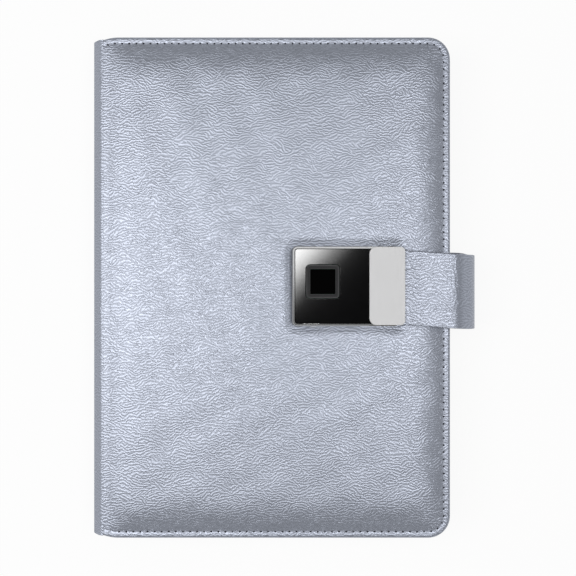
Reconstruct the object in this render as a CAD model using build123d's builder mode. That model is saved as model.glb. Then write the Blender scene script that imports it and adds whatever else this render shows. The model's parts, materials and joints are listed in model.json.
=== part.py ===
from build123d import *
from math import cos, pi, radians, sin, sqrt
import os

os.makedirs("parts", exist_ok=True)

# A notebook with a padded cover, six rings and a fingerprint lock, lying closed on its back cover.
# Millimetres. X runs from the spine to the fore-edge, Y along the pages, Z up through the covers.

# Covers
cover_length = 233.0
cover_width = 166.4
body_height = 33.0
corner_radius = 10.2
leather_t = 1.0
foam_t = 0.8
board_t = 1.6
lining_t = 0.6
turn_in = 11.0
edge_round = 0.9
layer_gap = 0.1
cover_least_corner = 1.0
cut_past = 1.0

# Padded crown of the front cover
crown_height = 1.8
crown_border = 5.0
crown_slope = 17.0
crown_corner = 12.0
crown_spine_margin = 12.0
crown_steps = 4

# Spine and its leather hinges
spine_roll = 5.0
spine_end_inset = 1.2
hinge_board_gap = 0.4
hinge_seam = 0.05
pivot_depth = 2.5

# Ring mechanism
ring_radius = 9.2
ring_wire = 1.25
ring_tip_gap = 0.1
ring_arc = 139.0
ring_foot_bend = 3.0
ring_pitch = 19.0
ring_group_gap = 70.0
rings_per_group = 3
ring_slot_play = 0.4
base_half_width = 8.5
base_side = 3.2
base_crest = 5.4
base_sheet = 0.9
base_lip = 1.7
base_end = 6.8
tab_length = 10.0
tab_width = 12.0
tab_t = 1.2
tab_corner = 2.0
blade_t = 0.9
blade_play = 0.2
blade_end_play = 0.4
rivet_head = 6.0
rivet_head_t = 1.0
rivet_round = 0.8
rivet_shank = 3.0
rivet_fit = 0.05

# Pages
page_fore_gap = 3.75
page_end_gap = 11.5
page_corner = 6.0
page_hole = 2.75
page_margin = 6.0
hole_offset = 0.95
page_play = 0.2
page_gap = 0.3
page_spread_start = 16.0
page_spread_end = 60.0

# Lock
lock_length = 51.8
lock_width = 36.5
lock_from_edge = 21.55
lock_y = 0.6
lock_corner = 2.2
lock_least_corner = 0.4
lock_rise = 7.0
rim_wall = 0.9
rim_gap = 0.1
rim_bite = 0.2
rim_proud = 0.3
rim_round = 0.3
leather_hole_gap = 0.3
mouth_depth = 2.55
housing_wall = 1.6
housing_floor = 1.0
gasket_t = 0.4
neck_inset = 3.0
neck_gap = 0.2
panel_t = 0.7
panel_gap = 0.15
cap_length = 16.5
cap_side_inset = 0.2
cap_plate = 1.0
cap_skirt = 0.6
cap_corner = 3.3
cap_overlap = 1.4
cap_skirt_setback = 4.75
cap_edge = 0.25
cap_gap = 0.1
cap_shift = 0.15
skirt_clearance = 0.1

# Fingerprint sensor
sensor_from_left = 13.9
sensor_y = 2.75
sensor_size = 11.4
sensor_bezel_size = 15.3
sensor_bezel_corner = 1.9
sensor_bezel_proud = 0.5
sensor_bezel_chamfer = 0.4
sensor_gap = 0.1
sensor_t = 1.0

# Electronics
sensor_bezel_foot = 0.4
sensor_corner = 0.4
pcb_t = 1.0
pcb_edge_gap = 0.5
post_diameter = 2.4
post_inset = 2.0
battery_length = 28.0
battery_t = 3.5
battery_gap = 0.2
battery_socket_gap = 0.25
battery_motor_gap = 1.0
battery_edge = 1.2
socket_width = 9.0
socket_length = 7.3
socket_height = 3.0
socket_corner = 1.4
socket_from_left = 8.6
socket_setback = 0.6
socket_below_panel = 0.2
socket_gap = 0.15
socket_wall = 0.35
socket_back = 0.8
socket_tongue_width = 6.7
socket_tongue_t = 0.7
socket_tongue_setback = 0.8
motor_diameter = 5.6
motor_length = 12.0
motor_flat = 0.3
motor_seat = 0.4
motor_rib = 2.0
motor_rib_inset = 2.4
motor_shaft = 1.0
motor_shaft_end = 0.2
motor_gap = 0.7
motor_from_wall = 5.35
pinion_length = 2.2
pinion_gap = 1.0
pinion_teeth = 10
pinion_pitch_radius = 1.6
pinion_fit = 0.03
pressure_angle = 20.0
addendum = 0.3
dedendum = 0.4
rack_play = 0.08

# Bolt and its guide
bolt_setback = 5.6
bolt_width = 2.6
bolt_t = 1.6
bolt_play = 0.1
bolt_travel = 3.0
bolt_end_gap = 0.25
bolt_arm_t = 1.1
bolt_chamfer = 0.4
rack_teeth = 6
guide_wall = 1.0
guide_from_tongue = 1.2
guide_share = 0.7

# Inner plate and screws
plate_screw_head = 2.6
plate_screw_shank = 1.6
plate_screw_fit = 0.05
plate_screw_inset = 3.6
plate_screw_length = 3.2

# Strap
strap_reach = 12.4
strap_width = 34.5
strap_leather_t = 1.0
strap_core_t = 0.6
strap_lining_t = 0.8
strap_inner_radius = 9.5
strap_over_crown = 0.3
strap_tail = 12.0
strap_tail_gap = 0.15
strap_edge_gap = 0.3
strap_mouth_play = 0.6
core_width = 26.0
tongue_width = 14.0
tongue_length = 10.7
tongue_shoulder = 3.0
notch_depth = 3.0
notch_play = 0.4
tongue_play = 0.2
tongue_corner = 1.2

# Heights and places worked out from the sizes above
cover_t = leather_t + foam_t + board_t + lining_t
spine_t = leather_t + board_t + lining_t
spine_x = -(cover_width + strap_reach) / 2
edge_x = spine_x + cover_width
half_length = cover_length / 2
hinge_x = spine_x + spine_roll + hinge_seam
board_x = spine_x + spine_roll + hinge_board_gap
middle_z = body_height / 2
front_inner = body_height - cover_t
front_board_z = front_inner + lining_t
front_foam_z = front_board_z + board_t
front_skin_z = body_height - leather_t
crown_z = body_height + crown_height
ring_x = spine_x + pivot_depth + (middle_z - pivot_depth)
base_x = spine_x + spine_t


# Outline of a cover layer, set in from the cover's edge, with its two fore-edge corners round
def cover_face(inset, left):
    right = edge_x - inset
    with BuildSketch() as face:
        with Locations(((left + right) / 2, 0)):
            Rectangle(right - left, 2 * (half_length - inset))
        fillet(face.vertices().group_by(Axis.X)[-1], max(corner_radius - inset, cover_least_corner))
    return face.sketch


# Padded crown above the cover's border, rising along a quarter sine
def crown_solid(sink):
    with BuildPart() as crown:
        for step in range(crown_steps):
            share = step / (crown_steps - 1)
            inset = crown_border + crown_slope * share
            left = spine_x + crown_spine_margin + crown_slope * share
            right = edge_x - inset
            rise = body_height + crown_height * sin(share * pi / 2) - sink
            with BuildSketch(Plane.XY.offset(rise)):
                with Locations(((left + right) / 2, 0)):
                    RectangleRounded(right - left, 2 * (half_length - inset), crown_corner)
        loft()
    return crown.part


# Lock outlines, all on one centre line
lock_right = edge_x - lock_from_edge
lock_left = lock_right - lock_length
lock_top = body_height + lock_rise
housing_left = lock_left + rim_wall + rim_gap
housing_right = lock_right - mouth_depth
housing_width = lock_width - 2 * (rim_wall + rim_gap)
housing_length = housing_right - housing_left
housing_x = (housing_left + housing_right) / 2
cap_left = lock_right - cap_length
cap_z = lock_top - cap_plate
panel_z = cap_z - panel_t
flange_z = front_foam_z + gasket_t
floor_z = flange_z + housing_floor
neck_length = housing_length - 2 * neck_inset
neck_width = housing_width - 2 * neck_inset
rim_bottom = body_height - rim_bite


# Outline of the lock's body grown or shrunk all round
def housing_face(grow):
    with BuildSketch() as face:
        with Locations((housing_x, lock_y)):
            corner = max(lock_corner + grow, lock_least_corner)
            RectangleRounded(housing_length + 2 * grow, housing_width + 2 * grow, corner)
    return face.sketch


def neck_face(grow):
    with BuildSketch() as face:
        with Locations((housing_x, lock_y)):
            RectangleRounded(neck_length + 2 * grow, neck_width + 2 * grow, lock_corner)
    return face.sketch


# Opening in the leather and foam, round the rim on three sides and the housing's mouth on the fourth
def leather_hole(grow):
    left = lock_left - grow
    right = housing_right + grow
    with BuildSketch() as face:
        with Locations(((left + right) / 2, lock_y)):
            RectangleRounded(right - left, lock_width + 2 * grow, lock_corner)
    return face.sketch


# Front cover
with BuildPart() as front_leather:
    with BuildSketch(Plane.XY.offset(front_inner)):
        add(cover_face(0, hinge_x))
    extrude(amount=cover_t)
    outer = front_leather.faces().sort_by(Axis.Z)[-1].edges()
    fillet(outer.filter_by(lambda edge: edge.center().X > hinge_x + edge_round), edge_round)
    add(crown_solid(0))
    with BuildSketch(Plane.XY.offset(front_board_z)):
        add(cover_face(leather_t, hinge_x - cut_past))
    extrude(amount=board_t + foam_t, mode=Mode.SUBTRACT)
    add(crown_solid(leather_t), mode=Mode.SUBTRACT)
    with BuildSketch(Plane.XY.offset(front_inner)):
        add(cover_face(turn_in, hinge_x - cut_past))
    extrude(amount=lining_t, mode=Mode.SUBTRACT)
    with BuildSketch(Plane.XY.offset(front_skin_z - foam_t)):
        add(leather_hole(leather_hole_gap))
    extrude(amount=crown_height + leather_t + foam_t + cut_past, mode=Mode.SUBTRACT)
front_leather.part.label = "front_leather"
export_step(front_leather.part, "parts/front_leather.step")

with BuildPart() as front_foam:
    with BuildSketch(Plane.XY.offset(front_foam_z)):
        add(cover_face(leather_t + layer_gap, board_x))
    extrude(amount=foam_t)
    add(crown_solid(leather_t + layer_gap))
    with BuildSketch(Plane.XY.offset(front_foam_z)):
        add(leather_hole(leather_hole_gap))
    extrude(amount=crown_height + foam_t + cut_past, mode=Mode.SUBTRACT)
front_foam.part.label = "front_foam"
export_step(front_foam.part, "parts/front_foam.step")

with BuildPart() as front_board:
    with BuildSketch(Plane.XY.offset(front_board_z)):
        add(cover_face(leather_t + layer_gap, board_x))
        add(neck_face(neck_gap), mode=Mode.SUBTRACT)
    extrude(amount=board_t)
front_board.part.label = "front_board"
export_step(front_board.part, "parts/front_board.step")

with BuildPart() as front_lining:
    with BuildSketch(Plane.XY.offset(front_inner)):
        add(cover_face(turn_in + layer_gap, board_x))
        add(housing_face(neck_gap), mode=Mode.SUBTRACT)
    extrude(amount=lining_t)
front_lining.part.label = "front_lining"
export_step(front_lining.part, "parts/front_lining.step")

# Back cover, with a slot in its fore-edge for the sewn tail of the strap
strap_t = strap_leather_t + strap_core_t + strap_lining_t
tail_low = leather_t + strap_tail_gap
strap_low_inner = tail_low + strap_t
slot_height = strap_leather_t + 2 * strap_tail_gap
slot_depth = strap_tail + strap_tail_gap

with BuildPart() as tail_slot:
    with Locations((edge_x + (cut_past - slot_depth) / 2, 0, leather_t + slot_height / 2)):
        Box(slot_depth + cut_past, strap_width + 2 * strap_tail_gap, slot_height)

with BuildPart() as back_leather:
    with BuildSketch():
        add(cover_face(0, hinge_x))
    extrude(amount=cover_t)
    outer = back_leather.faces().sort_by(Axis.Z)[0].edges()
    fillet(outer.filter_by(lambda edge: edge.center().X > hinge_x + edge_round), edge_round)
    with BuildSketch(Plane.XY.offset(leather_t)):
        add(cover_face(leather_t, hinge_x - cut_past))
    extrude(amount=board_t + foam_t, mode=Mode.SUBTRACT)
    with BuildSketch(Plane.XY.offset(cover_t - lining_t)):
        add(cover_face(turn_in, hinge_x - cut_past))
    extrude(amount=lining_t, mode=Mode.SUBTRACT)
    add(tail_slot.part, mode=Mode.SUBTRACT)
back_leather.part.label = "back_leather"
export_step(back_leather.part, "parts/back_leather.step")

with BuildPart() as back_foam:
    with BuildSketch(Plane.XY.offset(leather_t)):
        add(cover_face(leather_t + layer_gap, board_x))
    extrude(amount=foam_t)
    add(tail_slot.part, mode=Mode.SUBTRACT)
back_foam.part.label = "back_foam"
export_step(back_foam.part, "parts/back_foam.step")

with BuildPart() as back_board:
    with BuildSketch(Plane.XY.offset(leather_t + foam_t)):
        add(cover_face(leather_t + layer_gap, board_x))
    extrude(amount=board_t)
    add(tail_slot.part, mode=Mode.SUBTRACT)
back_board.part.label = "back_board"
export_step(back_board.part, "parts/back_board.step")

with BuildPart() as back_lining:
    with BuildSketch(Plane.XY.offset(cover_t - lining_t)):
        add(cover_face(turn_in + layer_gap, board_x))
    extrude(amount=lining_t)
back_lining.part.label = "back_lining"
export_step(back_lining.part, "parts/back_lining.step")

# Spine: a board wrapped in leather at its ends and lined inside
spine_half = half_length - spine_end_inset
spine_board_low = spine_roll + hinge_board_gap

with BuildPart() as spine_leather:
    with BuildSketch(Plane.XY.offset(spine_roll)):
        with Locations((spine_x + (leather_t + board_t) / 2, 0)):
            Rectangle(leather_t + board_t, 2 * spine_half)
    extrude(amount=body_height - 2 * spine_roll)
    with BuildSketch(Plane.XY.offset(spine_roll)):
        with Locations((spine_x + leather_t + board_t / 2, 0)):
            Rectangle(board_t, 2 * (spine_half - leather_t))
    extrude(amount=body_height - 2 * spine_roll, mode=Mode.SUBTRACT)
spine_leather.part.label = "spine_leather"
export_step(spine_leather.part, "parts/spine_leather.step")

base_half_length = ring_group_gap / 2 + (rings_per_group - 1) * ring_pitch + base_end
rivet_y = base_half_length + tab_length / 2


# A flat layer of the spine with the two rivet holes
def spine_layer(outer_x, thickness, half):
    with BuildPart() as layer:
        with BuildSketch(Plane.YZ.offset(outer_x)):
            with Locations((0, middle_z)):
                Rectangle(2 * half, body_height - 2 * spine_board_low)
            with Locations(*[(side * rivet_y, middle_z) for side in (-1, 1)]):
                Circle(rivet_shank / 2 + rivet_fit, mode=Mode.SUBTRACT)
        extrude(amount=thickness)
    return layer.part


with BuildPart() as spine_board:
    add(spine_layer(spine_x + leather_t, board_t, spine_half - leather_t - layer_gap))
spine_board.part.label = "spine_board"
export_step(spine_board.part, "parts/spine_board.step")

with BuildPart() as spine_lining:
    add(spine_layer(spine_x + leather_t + board_t, lining_t, spine_half - leather_t - layer_gap))
spine_lining.part.label = "spine_lining"
export_step(spine_lining.part, "parts/spine_lining.step")


# A quarter round strip that joins the spine to a cover
def hinge_strip(outer_radius, thickness, center_z, upward, half):
    with BuildPart() as strip:
        with BuildSketch(Plane.XZ):
            with Locations((spine_x + spine_roll, center_z)):
                Circle(outer_radius)
                Circle(outer_radius - thickness, mode=Mode.SUBTRACT)
            with Locations((spine_x + spine_roll / 2, center_z + upward * spine_roll / 2)):
                Rectangle(spine_roll, spine_roll, mode=Mode.INTERSECT)
        extrude(amount=half, both=True)
    return strip.part


hinge_sides = {"front": (body_height - spine_roll, 1), "back": (spine_roll, -1)}
for side_name, (center_z, upward) in hinge_sides.items():
    with BuildPart() as hinge_leather:
        add(hinge_strip(spine_roll, leather_t, center_z, upward, spine_half))
    hinge_leather.part.label = side_name + "_hinge_leather"
    export_step(hinge_leather.part, "parts/" + side_name + "_hinge_leather.step")

    with BuildPart() as hinge_lining:
        add(hinge_strip(spine_roll - leather_t, lining_t, center_z, upward, spine_half - leather_t))
    hinge_lining.part.label = side_name + "_hinge_lining"
    export_step(hinge_lining.part, "parts/" + side_name + "_hinge_lining.step")

# Ring mechanism: an arched steel cover over two toggle blades, each carrying six half rings
ring_rows = [
    side * (ring_group_gap / 2 + step * ring_pitch) for side in (-1, 1) for step in range(rings_per_group)
]
blade_low = base_sheet + blade_play
blade_outer = base_half_width - base_sheet - blade_play
foot_u = blade_low + blade_t

# Where the half ring leaves its circle and where its foot stands on the blade
foot_turn = ring_arc - 90
foot_z = ring_radius * sin(radians(ring_arc)) - ring_foot_bend * (1 - cos(radians(foot_turn)))
foot_half_slot = ring_wire + ring_slot_play

with BuildPart() as ring_base:
    low = middle_z - base_half_width
    high = middle_z + base_half_width
    side_top = base_x + base_side
    with BuildSketch(Plane.XZ):
        with BuildLine():
            Polyline((side_top, high), (base_x, high), (base_x, low), (side_top, low))
            ThreePointArc((side_top, low), (base_x + base_crest, middle_z), (side_top, high))
        make_face()
    extrude(amount=base_half_length, both=True)
    with BuildSketch(Plane.XZ):
        with BuildLine():
            inner_low = low + base_sheet
            inner_high = high - base_sheet
            inner_top = side_top - base_sheet / 2
            Polyline(
                (inner_top, inner_high),
                (base_x + base_sheet, inner_high),
                (base_x + base_sheet, high - base_lip),
                (base_x, high - base_lip),
                (base_x, low + base_lip),
                (base_x + base_sheet, low + base_lip),
                (base_x + base_sheet, inner_low),
                (inner_top, inner_low),
            )
            ThreePointArc(
                (inner_top, inner_low),
                (base_x + base_crest - base_sheet, middle_z),
                (inner_top, inner_high),
            )
        make_face()
    extrude(amount=base_half_length - base_sheet, both=True, mode=Mode.SUBTRACT)
    with BuildSketch(Plane.YZ.offset(base_x)):
        with Locations(*[(side * rivet_y, middle_z) for side in (-1, 1)]):
            RectangleRounded(tab_length, tab_width, tab_corner)
        with Locations(*[(side * base_half_length, middle_z) for side in (-1, 1)]):
            Rectangle(2 * base_sheet, tab_width)
        with Locations(*[(side * rivet_y, middle_z) for side in (-1, 1)]):
            Circle(rivet_shank / 2 + rivet_fit, mode=Mode.SUBTRACT)
    extrude(amount=tab_t)
    with Locations(
        *[
            (base_x + base_crest / 2 + foot_u / 2, row, middle_z + side * foot_z)
            for row in ring_rows
            for side in (-1, 1)
        ]
    ):
        Box(base_crest, 2 * foot_half_slot, 2 * foot_half_slot + 2 * ring_slot_play, mode=Mode.SUBTRACT)
ring_base.part.label = "ring_base"
export_step(ring_base.part, "parts/ring_base.step")

with BuildPart() as base_rivets:
    for side in (-1, 1):
        with BuildSketch(Plane.YZ.offset(spine_x + leather_t + layer_gap)):
            with Locations((side * rivet_y, middle_z)):
                Circle(rivet_shank / 2)
        extrude(amount=base_x + tab_t - spine_x - leather_t - layer_gap)
        with BuildSketch(Plane.YZ.offset(base_x + tab_t)):
            with Locations((side * rivet_y, middle_z)):
                Circle(rivet_head / 2)
        extrude(amount=rivet_head_t)
    crests = base_rivets.edges().filter_by(GeomType.CIRCLE).group_by(Axis.X)[-1]
    fillet(crests, rivet_round)
base_rivets.part.label = "base_rivets"
export_step(base_rivets.part, "parts/base_rivets.step")

# One lower half ring: most of a half circle, a reverse bend and a straight foot
ring_plane = Plane(origin=(ring_x, 0, middle_z), x_dir=(1, 0, 0), z_dir=(0, -1, 0))
tip_angle = -ring_tip_gap / ring_radius * 180 / pi
with BuildPart() as half_ring:
    with BuildLine(ring_plane) as ring_path:
        loop = CenterArc((0, 0), ring_radius, tip_angle, -ring_arc - tip_angle)
        bend = JernArc(loop @ 1, loop % 1, ring_foot_bend, foot_turn)
        Line(bend @ 1, Vector(base_x + foot_u, 0, (bend @ 1).Z))
    with BuildSketch(Plane(origin=loop @ 0, z_dir=loop % 0)):
        Circle(ring_wire)
    sweep(path=ring_path.line)

with BuildPart() as lower_half_rings:
    with Locations(*[(0, row, 0) for row in ring_rows]):
        add(half_ring.part)
lower_half_rings.part.label = "lower_half_rings"
export_step(lower_half_rings.part, "parts/lower_half_rings.step")

with BuildPart() as lower_blade:
    with BuildSketch(Plane.YZ.offset(base_x + blade_low)):
        with Locations((0, middle_z - (blade_outer + blade_play) / 2)):
            Rectangle(2 * (base_half_length - base_sheet - blade_end_play), blade_outer - blade_play)
    extrude(amount=blade_t)
    fillet(lower_blade.edges().filter_by(Axis.X), blade_t)
lower_blade.part.label = "lower_blade"
export_step(lower_blade.part, "parts/lower_blade.step")

with BuildPart() as upper_half_rings:
    add(mirror(lower_half_rings.part, about=Plane.XY.offset(middle_z), mode=Mode.PRIVATE))
upper_half_rings.part.label = "upper_half_rings"
export_step(upper_half_rings.part, "parts/upper_half_rings.step")

with BuildPart() as upper_blade:
    add(mirror(lower_blade.part, about=Plane.XY.offset(middle_z), mode=Mode.PRIVATE))
upper_blade.part.label = "upper_blade"
export_step(upper_blade.part, "parts/upper_blade.step")

# Pages: loose sheets drawn together at the rings and spread out between the covers.
# Their edges follow the ring, because each sheet has its hole at the same distance from its edge.
hole_radius = ring_radius + hole_offset
ring_stack = ring_radius - ring_wire - page_play
outer_stack = middle_z - cover_t - page_gap
split_gap = page_gap / 2


def edge_at(height):
    return ring_x + sqrt(hole_radius**2 - height**2) - page_margin


page_inner = edge_at(ring_stack)
page_middle = edge_at(ring_stack / 2)
page_top = edge_at(split_gap)
page_width = edge_x - page_fore_gap - page_top
page_length = cover_length - 2 * page_end_gap
with BuildPart() as pages_back:
    with BuildSketch(Plane.XZ):
        with BuildLine():
            ThreePointArc(
                (page_inner, middle_z - ring_stack),
                (page_middle, middle_z - ring_stack / 2),
                (page_top, middle_z - split_gap),
            )
            Line((page_top, middle_z - split_gap), (page_top + page_width, middle_z - split_gap))
            ThreePointArc(
                (page_top + page_width, middle_z - split_gap),
                (page_middle + page_width, middle_z - outer_stack / 2),
                (page_inner + page_width, middle_z - outer_stack),
            )
            Line(
                (page_inner + page_width, middle_z - outer_stack),
                (ring_x + page_spread_end, middle_z - outer_stack),
            )
            Spline(
                (ring_x + page_spread_end, middle_z - outer_stack),
                (ring_x + page_spread_start, middle_z - ring_stack),
                tangents=[(-1, 0), (-1, 0)],
            )
            Line((ring_x + page_spread_start, middle_z - ring_stack), (page_inner, middle_z - ring_stack))
        make_face()
    extrude(amount=page_length / 2, both=True)
    with BuildSketch() as sheet:
        with Locations((page_top + page_width / 2, 0)):
            Rectangle(page_width, page_length)
        fillet(sheet.vertices().group_by(Axis.X)[-1], page_corner)
    extrude(amount=body_height, mode=Mode.INTERSECT)
    with Locations(*[Location((ring_x, row, middle_z), (90, 0, 0)) for row in ring_rows]):
        Torus(hole_radius, page_hole, mode=Mode.SUBTRACT)
pages_back.part.label = "pages_back"
export_step(pages_back.part, "parts/pages_back.step")

with BuildPart() as pages_front:
    add(mirror(pages_back.part, about=Plane.XY.offset(middle_z), mode=Mode.PRIVATE))
pages_front.part.label = "pages_front"
export_step(pages_front.part, "parts/pages_front.step")

# Lock housing: a tub seated on the cover board, with a neck that passes through it
strap_top_inner = crown_z + strap_over_crown
tongue_z = strap_top_inner + strap_lining_t
bolt_right = housing_right - bolt_setback
bolt_left = bolt_right - bolt_width
bolt_x = (bolt_left + bolt_right) / 2
bolt_z = tongue_z + strap_core_t / 2 - bolt_t / 2
nose_y = tongue_width / 2 - notch_depth + notch_play
guide_left = bolt_left - bolt_play - guide_wall
guide_right = bolt_right + bolt_play + guide_wall
guide_y = tongue_width / 2 + guide_from_tongue
pinion_right = guide_left - pinion_gap
pinion_left = pinion_right - pinion_length
motor_right = pinion_left - motor_gap
motor_left = motor_right - motor_length
motor_z = floor_z + motor_seat + motor_diameter / 2 - motor_flat
panel_left = lock_left + rim_wall + panel_gap
panel_right = cap_left + cap_overlap
panel_width = lock_width - 2 * (rim_wall + panel_gap)
inner_left = housing_left + housing_wall
inner_low = lock_y - housing_width / 2 + housing_wall
inner_high = lock_y + housing_width / 2 - housing_wall
bolt_end_y = inner_high - bolt_travel - bolt_end_gap
motor_y = inner_high - motor_from_wall
pcb_top = panel_z - sensor_bezel_foot
pcb_z = pcb_top - pcb_t
socket_x = lock_left + socket_from_left
socket_front = lock_y - lock_width / 2 + socket_setback
socket_z = panel_z - socket_below_panel - socket_height
battery_left = inner_left + pcb_edge_gap + battery_gap
battery_low = socket_front + socket_length + battery_socket_gap
battery_high = motor_y - motor_diameter / 2 - battery_motor_gap
sensor_x = lock_left + sensor_from_left
screw_across = neck_length / 2 - plate_screw_inset
screw_along = neck_width / 2 - plate_screw_inset
screw_spots = [
    (housing_x + across * screw_across, lock_y + along * screw_along)
    for across in (-1, 1)
    for along in (-1, 1)
]
post_spots = [
    (inner_left + post_inset, inner_high - post_inset),
    (motor_left - post_inset, inner_high - post_inset),
    (socket_x + socket_width / 2 + post_inset, inner_low + post_inset),
    (motor_right - post_inset, inner_low + post_inset),
]
tongue_slot = tongue_width + 2 * tongue_play

with BuildPart() as lock_housing:
    with BuildSketch(Plane.XY.offset(flange_z)):
        add(housing_face(0))
    extrude(amount=cap_z - flange_z)
    with BuildSketch(Plane.XY.offset(front_board_z)):
        add(neck_face(0))
    extrude(amount=flange_z - front_board_z)
    with BuildSketch(Plane.XY.offset(floor_z)):
        add(housing_face(-housing_wall))
    extrude(amount=cap_z - floor_z, mode=Mode.SUBTRACT)
    recess_left = housing_left - cut_past
    recess_right = panel_right + panel_gap
    with Locations(((recess_left + recess_right) / 2, lock_y, cap_z)):
        Box(recess_right - recess_left, lock_width, 2 * panel_t, mode=Mode.SUBTRACT)
    with BuildSketch(Plane.XY.offset(floor_z)):
        with Locations(*post_spots):
            Circle(post_diameter / 2)
    extrude(amount=pcb_z - floor_z)
    with BuildSketch(Plane.XY.offset(floor_z)):
        with Locations((motor_left + motor_rib_inset, motor_y), (motor_right - motor_rib_inset, motor_y)):
            Rectangle(motor_rib, motor_diameter)
    extrude(amount=motor_seat)
    with BuildSketch(Plane.XY.offset(floor_z)):
        with Locations(((guide_left + guide_right) / 2, (guide_y + inner_high + housing_wall / 2) / 2)):
            Rectangle(guide_right - guide_left, inner_high + housing_wall / 2 - guide_y)
    extrude(amount=bolt_z + bolt_t * guide_share - floor_z)
    with Locations((bolt_x, (guide_y + inner_high) / 2, bolt_z - bolt_play + bolt_t)):
        Box(bolt_width + 2 * bolt_play, inner_high - guide_y, 2 * bolt_t, mode=Mode.SUBTRACT)
    with Locations((housing_right - housing_wall / 2, 0, tongue_z + strap_core_t / 2)):
        Box(2 * housing_wall, tongue_slot, strap_core_t + 2 * tongue_play, mode=Mode.SUBTRACT)
    with Locations((socket_x, inner_low - housing_wall / 2, socket_z + panel_z / 2 - socket_z / 2)):
        Box(
            socket_width + 2 * socket_gap,
            2 * housing_wall,
            panel_z - socket_z + 2 * socket_gap,
            mode=Mode.SUBTRACT,
        )
    with BuildSketch(Plane.XY.offset(front_board_z)):
        with Locations(*screw_spots):
            Circle(plate_screw_shank / 2 + plate_screw_fit)
    extrude(amount=plate_screw_length - lining_t + plate_screw_fit, mode=Mode.SUBTRACT)
lock_housing.part.label = "lock_housing"
export_step(lock_housing.part, "parts/lock_housing.step")

with BuildPart() as lock_gasket:
    with BuildSketch(Plane.XY.offset(front_foam_z)):
        add(housing_face(0))
        add(neck_face(neck_gap), mode=Mode.SUBTRACT)
    extrude(amount=gasket_t)
lock_gasket.part.label = "lock_gasket"
export_step(lock_gasket.part, "parts/lock_gasket.step")

# Bright rim round three sides of the lock, with the charging port's opening in its lower side
rim_right = lock_right - cap_length + cap_skirt_setback
with BuildPart() as chrome_rim:
    with BuildSketch(Plane.XY.offset(rim_bottom)):
        with Locations(((lock_left + lock_right) / 2, lock_y)):
            RectangleRounded(lock_length, lock_width, lock_corner)
            RectangleRounded(
                lock_length - 2 * rim_wall,
                lock_width - 2 * rim_wall,
                lock_corner - rim_wall,
                mode=Mode.SUBTRACT,
            )
    extrude(amount=cap_z + rim_proud - rim_bottom)
    top_edges = chrome_rim.faces().sort_by(Axis.Z)[-1].outer_wire().edges()
    fillet(top_edges, rim_round)
    with Locations((rim_right + lock_length / 2, lock_y, cap_z)):
        Box(lock_length, 2 * lock_width, 2 * (lock_rise + cut_past), mode=Mode.SUBTRACT)
    with Locations((cap_left - cap_gap + lock_length / 2, lock_y, cap_z + lock_rise / 2)):
        Box(lock_length, 2 * lock_width, lock_rise, mode=Mode.SUBTRACT)
    with Locations((socket_x, lock_y - lock_width / 2, socket_z + socket_height / 2)):
        Box(
            socket_width + 2 * socket_gap,
            4 * rim_wall,
            socket_height + 2 * socket_gap,
            mode=Mode.SUBTRACT,
        )
chrome_rim.part.label = "chrome_rim"
export_step(chrome_rim.part, "parts/chrome_rim.step")

with BuildPart() as touch_panel:
    with BuildSketch(Plane.XY.offset(panel_z)):
        with Locations(((panel_left + panel_right) / 2, lock_y)):
            Rectangle(panel_right - panel_left, panel_width)
    extrude(amount=panel_t)
    fillet(
        touch_panel.edges().filter_by(Axis.Z).group_by(Axis.X)[0],
        lock_corner - rim_wall - panel_gap,
    )
    with BuildSketch(Plane.XY.offset(panel_z)):
        with Locations((sensor_x, sensor_y)):
            RectangleRounded(
                sensor_bezel_size + 2 * sensor_gap,
                sensor_bezel_size + 2 * sensor_gap,
                sensor_bezel_corner,
            )
    extrude(amount=panel_t, mode=Mode.SUBTRACT)
touch_panel.part.label = "touch_panel"
export_step(touch_panel.part, "parts/touch_panel.step")

# Fingerprint sensor in its square bezel, both standing on the circuit board
with BuildPart() as sensor_bezel:
    with BuildSketch(Plane.XY.offset(pcb_top)):
        with Locations((sensor_x, sensor_y)):
            RectangleRounded(sensor_bezel_size, sensor_bezel_size, sensor_bezel_corner)
    extrude(amount=cap_z + sensor_bezel_proud - pcb_top)
    chamfer(sensor_bezel.faces().sort_by(Axis.Z)[-1].edges(), sensor_bezel_chamfer)
    with BuildSketch(Plane.XY.offset(pcb_top)):
        with Locations((sensor_x, sensor_y)):
            Rectangle(sensor_size + 2 * sensor_gap, sensor_size + 2 * sensor_gap)
    extrude(amount=cap_z + sensor_bezel_proud - pcb_top, mode=Mode.SUBTRACT)
sensor_bezel.part.label = "sensor_bezel"
export_step(sensor_bezel.part, "parts/sensor_bezel.step")

with BuildPart() as fingerprint_sensor:
    with BuildSketch(Plane.XY.offset(pcb_top)):
        with Locations((sensor_x, sensor_y)):
            Rectangle(sensor_size, sensor_size)
    extrude(amount=sensor_t)
    fillet(fingerprint_sensor.edges().filter_by(Axis.Z), sensor_corner)
fingerprint_sensor.part.label = "fingerprint_sensor"
export_step(fingerprint_sensor.part, "parts/fingerprint_sensor.step")

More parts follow.
